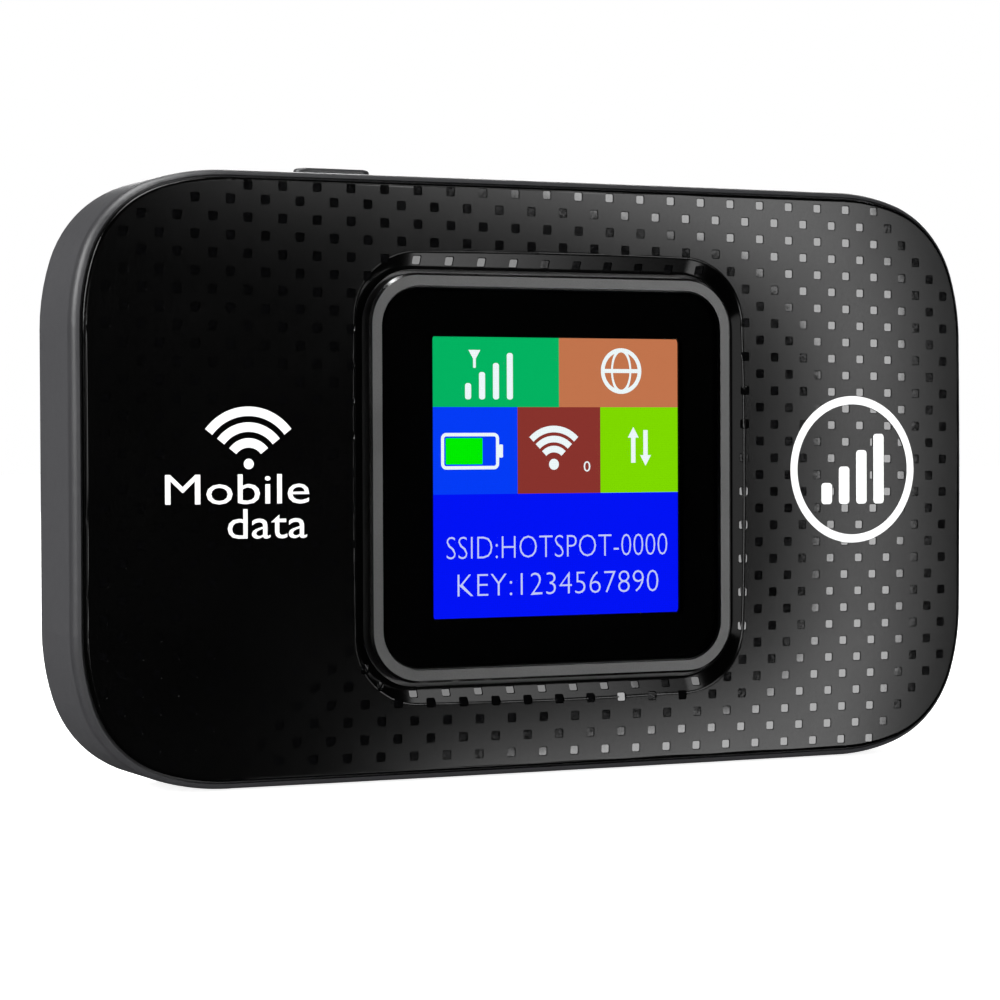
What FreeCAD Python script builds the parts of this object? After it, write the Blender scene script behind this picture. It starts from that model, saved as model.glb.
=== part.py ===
import FreeCAD, Part
import math
import os
from FreeCAD import Vector

# Pocket mobile hotspot, in millimetres.  It stands on its long bottom edge:
# X runs along the width, Y from the display (-Y) to the back (+Y), Z is up.
# The origin is the centre of the bottom of the whole box.

# ---- case ----
WIDTH = 98.4
HEIGHT = 59.0
DEPTH = 14.6
MIDDLE_Z = HEIGHT / 2
FRONT_Y = -DEPTH / 2
BACK_Y = DEPTH / 2
SEAM_Y = -3.9                   # joint between front frame and rear cover
CORNER_LONG_RADIUS = 22.0       # each case corner is three tangent arcs:
CORNER_SHORT_RADIUS = 11.2      # long, short, long
CORNER_LONG_ANGLE = 18.0        # degrees turned by each long arc
REAR_EDGE_RADIUS = 2.6
FRONT_EDGE_RADIUS = 1.2
COVER_WALL = 1.2
COVER_GAP = 0.3                 # rear cover to rear housing, all round
HOUSING_INSET = COVER_WALL + COVER_GAP
HOUSING_WALL = 1.0
HOUSING_BACK_Y = 5.5
SKIN_Y = HOUSING_BACK_Y - 1.1   # inner face of the housing's back skin
BAY_FLOOR_FRONT_Y = -0.9
BAY_FLOOR_BACK_Y = -0.1

# ---- crowned front panel ----
PANEL_INSET = 0.8
PANEL_GROOVE = 0.25             # gap round the panel, inside the frame's rim
PANEL_BACK_Y = -5.2
PANEL_EDGE_RADIUS = 0.35
CROWN_DROP_SIDES = 0.85         # how far the crown falls at the left and right edge
CROWN_DROP_ENDS = 0.45          # and at the top and bottom edge
RIM_BELOW_PANEL = 0.35
WEB_FRONT_Y = -5.05
WEB_BACK_Y = -4.25

# ---- display, all centred on the front ----
DISH_WIDTH = 43.7
DISH_HEIGHT = 45.6
DISH_RADIUS = 6.9
DISH_DEPTH = 1.1
RING_SIZE = 40.0
RING_RADIUS = 5.1
RING_BAND = 1.25
RING_GAP = 0.4
RING_CHAMFER = 0.25
RING_LEDGE_Y = -6.2
RING_LEDGE_SIZE = 35.5
RING_FLANGE_SIZE = 43.0
RING_BACK_Y = -4.7
WINDOW_CLEARANCE = 0.15
WINDOW_FRONT_Y = -7.0
GASKET_BACK_Y = -5.9
LCD_WIDTH = 31.5
LCD_TOP = 15.7                  # from the centre of the picture
LCD_BOTTOM = 17.5
LCD_GLASS_BACK_Y = -5.0
LCD_BACK_Y = -4.2
PICTURE_SIZE = 27.7
CONNECTOR_WIDTH = 15.0
CONNECTOR_DEPTH = 0.8
CONNECTOR_BOTTOM_Z = 13.0
CONNECTOR_TOP_Z = 16.0
RIBBON_WIDTH = 13.0
RIBBON_THICKNESS = 0.12

# ---- main board ----
BOARD_INSET = 3.0
BOARD_FRONT_Y = -2.9
BOARD_BACK_Y = -1.9
BOARD_NOTCH_WIDTH = 12.0        # under the power button
BOARD_NOTCH_Z = 54.7
BOARD_SUPPORT_RADIUS = 1.4
BOARD_SUPPORTS_X = (-26.0, 0.0, 18.0)
BOARD_SUPPORTS_Z = (12.0, 47.0)
CHIP_THICKNESS = 0.7
CAN_FRONT_Y = -3.95
CAN_WALL = 0.2
CAN_CORNER_RADIUS = 0.8
MODEM_CAN = (-22.0, 4.0, 20.0, 46.0)            # left, right, bottom, top
WIRELESS_CAN = (9.0, 25.0, 24.0, 44.0)
MAIN_ANTENNA = (-46.0, -41.6, 13.0, 46.0)
WIRELESS_ANTENNA = (41.4, 46.0, 36.0, 47.0)
ANTENNA_THICKNESS = 0.15
ANTENNA_CLIPS = ((-43.9, 22.0), (43.7, 42.0))
CLIP_SHEET = 0.15
CLIP_LENGTH = 2.8
CLIP_WIDTH = 1.5

# ---- battery bay ----
BAY_LEFT_X = -36.0
BAY_WIDTH = 57.0
BAY_HEIGHT = 43.0
BAY_WALL = 1.2
BATTERY_LEFT_X = -35.4
BATTERY_WIDTH = 55.9
BATTERY_HEIGHT = 42.0
BATTERY_FRONT_Y = 0.2
BATTERY_THICKNESS = 5.0
BATTERY_CORNER_RADIUS = 1.5
LABEL_WIDTH = 48.0
LABEL_HEIGHT = 34.0
LABEL_THICKNESS = 0.1
SCOOP_RADIUS = 6.5              # finger scoop at the bay's right end
SCOOP_FLOOR_Y = 2.4
CONTACT_PITCH = 3.0
CONTACT_COUNT = 4
CONTACT_Y = 2.1
CONTACT_WIDTH = 1.2
LEAF_THICKNESS = 0.2
LEAF_RADIUS = 0.8
LEAF_BACK_X = -39.3
LEAF_TIP_X = -35.6
CONTACT_BLOCK = (-41.0, -36.2, 22.5, 36.5)      # left, right, bottom, top
CONTACT_BLOCK_BACK_Y = 4.2
CONTACT_BLOCK_GAP = 0.2

# ---- screws at the four corners ----
SCREW_X = 42.1
SCREW_Z_OFFSET = 22.4
SCREW_RADIUS = 0.8
SCREW_HEAD_RADIUS = 1.5
SCREW_HEAD_HEIGHT = 0.9
SCREW_SEAT_Y = -0.6
COLUMN_RADIUS = 3.2
BOSS_RADIUS = 2.1
BOSS_BACK_Y = -1.5

# ---- power button in the top wall ----
BUTTON_X = -21.3
BUTTON_LENGTH = 7.8
BUTTON_DEPTH = 2.4
BUTTON_Y = -0.8
BUTTON_END_RADIUS = BUTTON_DEPTH / 2 - 0.05
BUTTON_PROUD = 0.8
BUTTON_CLEARANCE = 0.2
BUTTON_BOTTOM_Z = 55.6
BUTTON_FLANGE_THICKNESS = 0.6
BUTTON_FLANGE_SIDE = 0.7
BUTTON_FLANGE_DEPTH = 0.4
BUTTON_TOP_RADIUS = 0.35
SWITCH_WIDTH = 4.6
SWITCH_BACK_Y = 0.1
SWITCH_BOTTOM_Z = 52.4
SWITCH_TOP_Z = 54.4
PLUNGER_WIDTH = 1.6
PLUNGER_DEPTH = 0.8
PLUNGER_BOTTOM_Z = 54.1
PLUNGER_SLOT_Z = 53.6
PLUNGER_CLEARANCE = 0.1
PAD_LENGTH = 13.4
PAD_BACK_Y = 1.9
PAD_CORNER_RADIUS = 1.5

# ---- USB socket in the right wall ----
USB_WIDTH = 8.94
USB_THICKNESS = 3.2
USB_WALL = 0.32
USB_INNER_X = 41.4
USB_MOUTH_X = 48.7
USB_PAD_WIDTH = 13.2
USB_PAD_BACK_Y = 2.9

# ---- SIM pocket and reset button, beside the battery ----
SIM_POCKET_LEFT_X = 24.4
SIM_POCKET_RIGHT_X = 39.0
SIM_POCKET_BOTTOM_Z = 13.0
SIM_POCKET_TOP_Z = 43.4
SIM_WALL = 0.8
SIM_CARD_WIDTH = 12.0
SIM_CARD_LENGTH = 15.0
SIM_CARD_THICKNESS = 0.76
SIM_CARD_X = 31.7
SIM_CARD_BOTTOM_Z = 27.0
SIM_CARD_FRONT_Y = -1.1
SIM_CARD_CORNER = 2.5
SIM_CARD_GAP = 0.12             # card to socket, in front and behind
SIM_SOCKET_HALF_WIDTH = 6.7
SIM_SOCKET_HALF_TUNNEL = 6.2
SIM_SOCKET_BOTTOM_Z = 29.5
SIM_SOCKET_TOP_Z = 42.6
SIM_SOCKET_SHEET = 0.2
RESET_X = 31.7
RESET_Z = 49.5
RESET_RADIUS = 0.95
RESET_BACK_Y = 5.2
RESET_COLLAR_RADIUS = 1.6
RESET_COLLAR_FRONT_Y = 0.5
RESET_COLLAR_BACK_Y = 1.1
RESET_TIP_RADIUS = 0.7
RESET_TIP_Y = -0.9
RESET_GUIDE_RADIUS = 1.9
RESET_GUIDE_FRONT_Y = 1.5
RESET_SWITCH_SIZE = 3.6
RESET_SWITCH_BACK_Y = -0.5
RESET_WELL_FLOOR_Y = -1.3


# ---------------------------------------------------------------- shapes ----

def block(x0, x1, y0, y1, z0, z1):
    """A plain box between two corners."""
    return Part.makeBox(x1 - x0, y1 - y0, z1 - z0, Vector(x0, y0, z0))


def rod(radius, x, z, y0, y1):
    """A round bar along Y."""
    return Part.makeCylinder(radius, y1 - y0, Vector(x, y0, z), Vector(0, 1, 0))


def edges_along(shape, direction):
    """The straight edges of a shape that run along one direction."""
    found = []
    for edge in shape.Edges:
        start = edge.Vertexes[0].Point
        end = edge.Vertexes[-1].Point
        run = end.sub(start)
        if run.Length > 0 and abs(run.dot(direction)) > 0.999 * run.Length:
            found.append(edge)
    return found


def rounded_block(x0, x1, y0, y1, z0, z1, radius, direction):
    """A box whose four edges along one direction are rounded."""
    box = block(x0, x1, y0, y1, z0, z1)
    return box.makeFillet(radius, edges_along(box, direction))


def rounded_square(size, radius, y0, y1):
    """A square plate with round corners, centred on the front."""
    half = size / 2
    return rounded_block(-half, half, y0, y1, MIDDLE_Z - half, MIDDLE_Z + half, radius, Vector(0, 1, 0))


def corner_arcs(side_x, side_z, inset, y):
    """The three tangent arcs of one case corner, from the side wall to the top or bottom wall."""
    long_radius = CORNER_LONG_RADIUS
    step = long_radius - CORNER_SHORT_RADIUS
    a = math.radians(CORNER_LONG_ANGLE)
    b = math.pi / 2 - a
    reach = long_radius - step * (math.cos(a) - math.cos(b))
    first = (WIDTH / 2 - long_radius, HEIGHT / 2 - reach)
    second = (first[0] + step * math.cos(a), first[1] + step * math.sin(a))
    third = (WIDTH / 2 - reach, HEIGHT / 2 - long_radius)
    spans = [
        (first, long_radius, 0.0, a),
        (second, CORNER_SHORT_RADIUS, a, b),
        (third, long_radius, b, math.pi / 2),
    ]
    arcs = []
    for centre, radius, start, end in spans:
        points = []
        for angle in (start, (start + end) / 2, end):
            x = side_x * (centre[0] + (radius - inset) * math.cos(angle))
            z = side_z * (centre[1] + (radius - inset) * math.sin(angle))
            points.append(Vector(x, y, MIDDLE_Z + z))
        arcs.append(points)
    return arcs


def outline(inset, y):
    """The case outline as a closed wire, moved inwards by inset."""
    runs = []
    for side_x, side_z in ((1, 1), (-1, 1), (-1, -1), (1, -1)):
        arcs = corner_arcs(side_x, side_z, inset, y)
        if side_x * side_z < 0:
            arcs = [list(reversed(points)) for points in reversed(arcs)]
        runs.append(arcs)
    edges = []
    for index, arcs in enumerate(runs):
        for start, middle, end in arcs:
            edges.append(Part.Arc(start, middle, end).toShape())
        next_start = runs[(index + 1) % len(runs)][0][0]
        edges.append(Part.makeLine(arcs[-1][2], next_start))
    return Part.Wire(edges)


def slab(inset, y0, y1):
    """A plate with the case outline, between two depths."""
    return Part.Face(outline(inset, y0)).extrude(Vector(0, y1 - y0, 0))


def crowned_space(below):
    """All that lies behind the front's crown, which is curved both ways."""
    radius_across = (WIDTH / 2 - PANEL_INSET) ** 2 / (2 * CROWN_DROP_SIDES)
    radius_up = (HEIGHT / 2 - PANEL_INSET) ** 2 / (2 * CROWN_DROP_ENDS)
    apex = FRONT_Y + below
    half_height = 0.6 * HEIGHT
    fall = radius_up - math.sqrt(radius_up ** 2 - half_height ** 2)
    top = Vector(0, apex + fall, MIDDLE_Z + half_height)
    bottom = Vector(0, apex + fall, MIDDLE_Z - half_height)
    crown = Part.Arc(bottom, Vector(0, apex, MIDDLE_Z), top).toShape()
    inner_top = Vector(0, 0, top.z)
    inner_bottom = Vector(0, 0, bottom.z)
    rest = Part.makePolygon([top, inner_top, inner_bottom, bottom])
    profile = Part.Face(Part.Wire([crown] + rest.Edges))
    axis_point = Vector(0, apex + radius_across, 0)
    half_angle = math.degrees(math.asin(0.6 * WIDTH / radius_across))
    up = Vector(0, 0, 1)
    profile.rotate(axis_point, up, -half_angle)
    return profile.revolve(axis_point, up, 2 * half_angle)


def front_edges(shape, inset_limit):
    """Edges of the outer rim on a crowned front: those that lie near the outline."""
    found = []
    for edge in shape.Edges:
        box = edge.BoundBox
        near_side = max(abs(box.XMin), abs(box.XMax)) > WIDTH / 2 - inset_limit
        near_end = max(abs(box.ZMin - MIDDLE_Z), abs(box.ZMax - MIDDLE_Z)) > HEIGHT / 2 - inset_limit
        along_y = box.XLength < 0.01 and box.ZLength < 0.01
        if box.YMax < WEB_FRONT_Y and not along_y and (near_side or near_end):
            found.append(edge)
    return found


def at_screws(make):
    """One shape at each of the four screw places, joined."""
    shapes = []
    for x in (-SCREW_X, SCREW_X):
        for z in (MIDDLE_Z - SCREW_Z_OFFSET, MIDDLE_Z + SCREW_Z_OFFSET):
            shapes.append(make(x, z))
    return shapes[0].fuse(shapes[1:])


# ----------------------------------------------------------------- front ----

def front_panel():
    """Glossy moulded faceplate, crowned, with a dish that slopes down to the display ring."""
    blank = slab(PANEL_INSET, FRONT_Y - 1, PANEL_BACK_Y).common(crowned_space(0.0))
    blank = blank.makeFillet(PANEL_EDGE_RADIUS, front_edges(blank, PANEL_INSET + 0.1))
    crease = dish_outline(DISH_WIDTH, DISH_HEIGHT, DISH_RADIUS, FRONT_Y)
    hole = RING_SIZE + 2 * RING_GAP
    foot = dish_outline(hole, hole, RING_RADIUS + RING_GAP, FRONT_Y + DISH_DEPTH)
    dish = Part.makeLoft([crease, foot], True, True)
    through = rounded_square(hole, RING_RADIUS + RING_GAP, FRONT_Y + DISH_DEPTH - 0.01, PANEL_BACK_Y + 1)
    return blank.cut([dish, through])


def dish_outline(width, height, radius, y):
    """A rounded rectangle as a wire, centred on the front."""
    plate = rounded_block(-width / 2, width / 2, y, y + 1, MIDDLE_Z - height / 2,
                          MIDDLE_Z + height / 2, radius, Vector(0, 1, 0))
    for face in plate.Faces:
        if face.BoundBox.YLength < 0.01 and abs(face.BoundBox.YMin - y) < 0.01:
            return face.OuterWire


def front_frame():
    """Front housing: rim round the panel, a web behind it and four screw bosses."""
    blank = slab(0, FRONT_Y - 1, SEAM_Y).common(crowned_space(RIM_BELOW_PANEL))
    blank = blank.makeFillet(FRONT_EDGE_RADIUS, front_edges(blank, 0.1))
    pocket = slab(PANEL_INSET - PANEL_GROOVE, FRONT_Y - 1, WEB_FRONT_Y)
    hollow = slab(HOUSING_INSET + HOUSING_WALL, WEB_BACK_Y, SEAM_Y)
    window = rounded_square(RING_FLANGE_SIZE + 1, RING_RADIUS + 1.5, WEB_FRONT_Y - 1, SEAM_Y)
    frame = blank.cut([pocket, hollow, window])
    bosses = at_screws(lambda x, z: rod(BOSS_RADIUS, x, z, WEB_BACK_Y, BOSS_BACK_Y))
    holes = at_screws(lambda x, z: rod(SCREW_RADIUS, x, z, WEB_FRONT_Y + 0.2, BOSS_BACK_Y))
    return frame.fuse(bosses).cut(holes)


def panel_tape():
    """Double-sided tape between the panel and the frame's web."""
    ring = slab(PANEL_INSET + 1.5, PANEL_BACK_Y, WEB_FRONT_Y)
    inner = slab(PANEL_INSET + 5.0, PANEL_BACK_Y, WEB_FRONT_Y)
    return ring.cut(inner)


def display_ring():
    """Metal trim ring with a chamfered lip, an inner ledge and a rear flange."""
    body = rounded_square(RING_SIZE, RING_RADIUS, FRONT_Y, RING_BACK_Y)
    lip = [edge for edge in body.Edges if edge.BoundBox.YMax < FRONT_Y + 0.01]
    body = body.makeChamfer(RING_CHAMFER, lip)
    flange = rounded_square(RING_FLANGE_SIZE, RING_RADIUS + 1.5, PANEL_BACK_Y, RING_BACK_Y)
    opening = RING_SIZE - 2 * RING_BAND
    front_hole = rounded_square(opening, RING_RADIUS - RING_BAND + 0.15, FRONT_Y - 1, RING_LEDGE_Y)
    rear_hole = rounded_square(RING_LEDGE_SIZE, 3.0, RING_LEDGE_Y, RING_BACK_Y)
    return body.fuse(flange).cut([front_hole, rear_hole])


def display_window():
    """Flat cover glass, set just below the ring's lip."""
    size = RING_SIZE - 2 * RING_BAND - 2 * WINDOW_CLEARANCE
    return rounded_square(size, RING_RADIUS - RING_BAND, WINDOW_FRONT_Y, RING_LEDGE_Y)


def window_gasket():
    """Foam frame between the window and the display."""
    outer = rounded_square(RING_LEDGE_SIZE - 0.3, 2.8, RING_LEDGE_Y, GASKET_BACK_Y)
    inner = rounded_square(PICTURE_SIZE + 1.0, 1.0, RING_LEDGE_Y, GASKET_BACK_Y)
    return outer.cut(inner)


def lcd_glass():
    """Liquid-crystal cell of the display."""
    half = LCD_WIDTH / 2
    bottom = MIDDLE_Z - LCD_BOTTOM
    return block(-half, half, GASKET_BACK_Y, LCD_GLASS_BACK_Y, bottom, MIDDLE_Z + LCD_TOP)


def lcd_backlight():
    """Light guide and its frame, behind the cell."""
    half = LCD_WIDTH / 2
    bottom = MIDDLE_Z - LCD_BOTTOM
    return block(-half, half, LCD_GLASS_BACK_Y, LCD_BACK_Y, bottom, MIDDLE_Z + LCD_TOP)


def lcd_connector():
    """Board connector for the display's ribbon."""
    half = CONNECTOR_WIDTH / 2
    return block(-half, half, BOARD_FRONT_Y - CONNECTOR_DEPTH, BOARD_FRONT_Y,
                 CONNECTOR_BOTTOM_Z, CONNECTOR_TOP_Z)


def lcd_ribbon():
    """Flat ribbon: down from the display, round a bend and up into its connector."""
    left = -RIBBON_WIDTH / 2
    right = RIBBON_WIDTH / 2
    outside = 0.5
    inside = outside - RIBBON_THICKNESS
    bend_y = LCD_BACK_Y - 0.1 + outside
    bend_z = 10.6
    centre = Vector(left, bend_y, bend_z)
    bend = Part.makeCylinder(outside, RIBBON_WIDTH, centre, Vector(1, 0, 0))
    core = Part.makeCylinder(inside, RIBBON_WIDTH, centre, Vector(1, 0, 0))
    upper_half = block(left, right, bend_y - outside, bend_y + outside, bend_z, bend_z + outside)
    bend = bend.cut([core, upper_half])
    front_run = block(left, right, bend_y - outside, bend_y - inside, bend_z, MIDDLE_Z - LCD_BOTTOM)
    rear_run = block(left, right, bend_y + inside, bend_y + outside, bend_z, CONNECTOR_BOTTOM_Z)
    return bend.fuse([front_run, rear_run])


# ----------------------------------------------------------------- board ----

def main_board():
    """Circuit board with corner cut-outs for the screw columns and a notch under the power button."""
    board = slab(BOARD_INSET, BOARD_FRONT_Y, BOARD_BACK_Y)
    columns = at_screws(lambda x, z: rod(COLUMN_RADIUS + 0.3, x, z, BOARD_FRONT_Y, BOARD_BACK_Y))
    half_notch = BOARD_NOTCH_WIDTH / 2
    notch = block(BUTTON_X - half_notch, BUTTON_X + half_notch, BOARD_FRONT_Y, BOARD_BACK_Y,
                  BOARD_NOTCH_Z, HEIGHT)
    return board.cut([columns, notch])


def shield_can(extent):
    """Folded sheet-metal can over the radio chips, open towards the board."""
    x0, x1, z0, z1 = extent
    shell = rounded_block(x0, x1, CAN_FRONT_Y, BOARD_FRONT_Y, z0, z1, CAN_CORNER_RADIUS,
                          Vector(0, 1, 0))
    inside = block(x0 + CAN_WALL, x1 - CAN_WALL, CAN_FRONT_Y + CAN_WALL, BOARD_FRONT_Y,
                   z0 + CAN_WALL, z1 - CAN_WALL)
    return shell.cut(inside)


def board_chips():
    """Modem, wireless and power chips soldered to the board."""
    places = [
        # middle x, width, middle z, height, and whether it is on the front of the board
        (-14.0, 8.0, 28.0, 11.0, True),
        (-4.5, 5.0, 40.0, 5.0, True),
        (17.0, 8.0, 34.0, 8.0, True),
        (12.0, 6.0, 20.0, 6.0, False),
        (-10.0, 9.0, 36.0, 7.0, False),
    ]
    chips = []
    for x, width, z, height, in_front in places:
        y0 = BOARD_FRONT_Y - CHIP_THICKNESS if in_front else BOARD_BACK_Y
        y1 = y0 + CHIP_THICKNESS
        chips.append(block(x - width / 2, x + width / 2, y0, y1, z - height / 2, z + height / 2))
    return Part.makeCompound(chips)


def display_pad():
    """Soft pad between the modem can and the display."""
    return block(-15.0, -3.0, LCD_BACK_Y, CAN_FRONT_Y, 26.0, 40.0)


def stadium(length, thickness, x0, x1, y):
    """A slot-shaped bar along X: flat sides and full round ends."""
    middle = (length - thickness) / 2
    plate = block(x0, x1, y - thickness / 2, y + thickness / 2, MIDDLE_Z - middle, MIDDLE_Z + middle)
    ends = []
    for z in (MIDDLE_Z - middle, MIDDLE_Z + middle):
        ends.append(Part.makeCylinder(thickness / 2, x1 - x0, Vector(x0, y, z), Vector(1, 0, 0)))
    return plate.fuse(ends).removeSplitter()


USB_Y = BOARD_BACK_Y + USB_THICKNESS / 2


def usb_shell():
    """Drawn steel shell of the USB type C socket."""
    outer = stadium(USB_WIDTH, USB_THICKNESS, USB_INNER_X, USB_MOUTH_X, USB_Y)
    inner = stadium(USB_WIDTH - 2 * USB_WALL, USB_THICKNESS - 2 * USB_WALL, USB_INNER_X + USB_WALL,
                    USB_MOUTH_X, USB_Y)
    return outer.cut(inner)


def usb_tongue():
    """Contact tongue of the socket, on its moulded root."""
    root = stadium(USB_WIDTH - 2 * USB_WALL, USB_THICKNESS - 2 * USB_WALL, USB_INNER_X + USB_WALL,
                   USB_INNER_X + 2.0, USB_Y)
    tongue = block(USB_INNER_X + 2.0, USB_MOUTH_X - 0.8, USB_Y - 0.35, USB_Y + 0.35,
                   MIDDLE_Z - 3.3, MIDDLE_Z + 3.3)
    return root.fuse(tongue)


def power_switch():
    """Side-acting switch under the power button, with a slot for its plunger."""
    half = SWITCH_WIDTH / 2
    body = block(BUTTON_X - half, BUTTON_X + half, BOARD_BACK_Y, SWITCH_BACK_Y, SWITCH_BOTTOM_Z, SWITCH_TOP_Z)
    half_width = PLUNGER_WIDTH / 2 + PLUNGER_CLEARANCE
    half_depth = PLUNGER_DEPTH / 2 + PLUNGER_CLEARANCE
    slot = block(BUTTON_X - half_width, BUTTON_X + half_width, BUTTON_Y - half_depth, BUTTON_Y + half_depth,
                 PLUNGER_SLOT_Z, SWITCH_TOP_Z)
    return body.cut(slot)


def reset_switch():
    """Flat switch under the reset button, with a round well for its tip."""
    half = RESET_SWITCH_SIZE / 2
    body = block(RESET_X - half, RESET_X + half, BOARD_BACK_Y, RESET_SWITCH_BACK_Y,
                 RESET_Z - half, RESET_Z + half)
    return body.cut(rod(RESET_TIP_RADIUS + 0.15, RESET_X, RESET_Z, RESET_WELL_FLOOR_Y, RESET_SWITCH_BACK_Y))


def sim_socket_base():
    """Moulded base of the SIM socket, on the board."""
    half = SIM_SOCKET_HALF_WIDTH
    return block(SIM_CARD_X - half, SIM_CARD_X + half, BOARD_BACK_Y, SIM_CARD_FRONT_Y - SIM_CARD_GAP,
                 SIM_SOCKET_BOTTOM_Z, SIM_SOCKET_TOP_Z)


def sim_socket_shell():
    """Folded steel cover of the SIM socket, with an oval window in its roof."""
    roof_y = SIM_CARD_FRONT_Y + SIM_CARD_THICKNESS + SIM_CARD_GAP
    base_y = SIM_CARD_FRONT_Y - SIM_CARD_GAP
    half = SIM_SOCKET_HALF_WIDTH
    outer = block(SIM_CARD_X - half, SIM_CARD_X + half, base_y, roof_y + SIM_SOCKET_SHEET,
                  SIM_SOCKET_BOTTOM_Z, SIM_SOCKET_TOP_Z)
    half = SIM_SOCKET_HALF_TUNNEL
    tunnel = block(SIM_CARD_X - half, SIM_CARD_X + half, base_y, roof_y,
                   SIM_SOCKET_BOTTOM_Z, SIM_SOCKET_TOP_Z - SIM_SOCKET_SHEET)
    middle_z = (SIM_SOCKET_BOTTOM_Z + SIM_SOCKET_TOP_Z) / 2
    window = rounded_block(SIM_CARD_X - 3.0, SIM_CARD_X + 3.0, roof_y, roof_y + SIM_SOCKET_SHEET,
                           middle_z - 2.5, middle_z + 2.5, 1.5, Vector(0, 1, 0))
    return outer.cut([tunnel, window])


def battery_contact_block():
    """Moulded holder of the battery's contact springs, passing through the bay's wall."""
    x0, x1, z0, z1 = CONTACT_BLOCK
    body = block(x0, x1, BOARD_BACK_Y, CONTACT_BLOCK_BACK_Y, z0, z1)
    slots = []
    half_width = CONTACT_WIDTH / 2 + 0.2
    half_depth = LEAF_RADIUS + 0.5
    for z in contact_heights():
        slots.append(block(LEAF_BACK_X - 0.5, x1, CONTACT_Y - half_depth, CONTACT_Y + half_depth,
                           z - half_width, z + half_width))
    return body.cut(slots)


def contact_heights():
    """Heights of the battery contacts, evenly spaced about the middle."""
    first = MIDDLE_Z - CONTACT_PITCH * (CONTACT_COUNT - 1) / 2
    return [first + CONTACT_PITCH * index for index in range(CONTACT_COUNT)]


def battery_contacts():
    """Looped leaf springs that press on the battery's terminals."""
    leaves = []
    for z in contact_heights():
        outer = leaf_loop(0.0, z)
        inner = leaf_loop(LEAF_THICKNESS, z)
        leaves.append(outer.cut(inner))
    return Part.makeCompound(leaves)


def leaf_loop(inset, z):
    """A slot-shaped plate in the plane of X and Y, as wide as one leaf spring, for its outside or inside."""
    radius = LEAF_RADIUS - inset
    x0 = LEAF_BACK_X + LEAF_RADIUS
    x1 = LEAF_TIP_X - LEAF_RADIUS
    z0 = z - CONTACT_WIDTH / 2
    plate = block(x0, x1, CONTACT_Y - radius, CONTACT_Y + radius, z0, z0 + CONTACT_WIDTH)
    ends = []
    for x in (x0, x1):
        ends.append(Part.makeCylinder(radius, CONTACT_WIDTH, Vector(x, CONTACT_Y, z0), Vector(0, 0, 1)))
    return plate.fuse(ends).removeSplitter()


def antenna(extent):
    """Flexible printed antenna, stuck to the inside of the housing's back skin."""
    x0, x1, z0, z1 = extent
    return block(x0, x1, SKIN_Y - ANTENNA_THICKNESS, SKIN_Y, z0, z1)


def antenna_clips():
    """Bent spring clips from the board to each antenna."""
    clips = []
    tip_y = SKIN_Y - ANTENNA_THICKNESS
    for x, z in ANTENNA_CLIPS:
        x0 = x - CLIP_LENGTH / 2
        x1 = x0 + CLIP_LENGTH
        z0 = z - CLIP_WIDTH / 2
        z1 = z0 + CLIP_WIDTH
        foot = block(x0, x1, BOARD_BACK_Y, BOARD_BACK_Y + CLIP_SHEET, z0, z1)
        post = block(x0, x0 + CLIP_SHEET, BOARD_BACK_Y, tip_y, z0, z1)
        arm = block(x0, x1, tip_y - CLIP_SHEET, tip_y, z0, z1)
        clips.append(foot.fuse([post, arm]))
    return Part.makeCompound(clips)


# --------------------------------------------------------------- housing ----

def top_pad(grow):
    """Land round the power button, as deep as the case wall."""
    half = PAD_LENGTH / 2 + grow
    pad = rounded_block(BUTTON_X - half, BUTTON_X + half, SEAM_Y - 5, PAD_BACK_Y + grow,
                        HEIGHT - HOUSING_INSET - 0.5, HEIGHT + 1, PAD_CORNER_RADIUS + grow, Vector(0, 0, 1))
    return pad.common(block(-WIDTH, WIDTH, SEAM_Y, BACK_Y, 0, 2 * HEIGHT))


def usb_pad(grow):
    """Land round the USB socket, as deep as the case wall."""
    half = USB_PAD_WIDTH / 2 + grow
    pad = rounded_block(WIDTH / 2 - HOUSING_INSET - 0.5, WIDTH / 2 + 1, SEAM_Y - 5, USB_PAD_BACK_Y + grow,
                        MIDDLE_Z - half, MIDDLE_Z + half, PAD_CORNER_RADIUS + grow, Vector(1, 0, 0))
    return pad.common(block(-WIDTH, WIDTH, SEAM_Y, BACK_Y, 0, HEIGHT))


def rear_edges(shape, y):
    """The edges that bound a flat back face."""
    return [edge for edge in shape.Edges if edge.BoundBox.YMin > y - 0.01]


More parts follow.
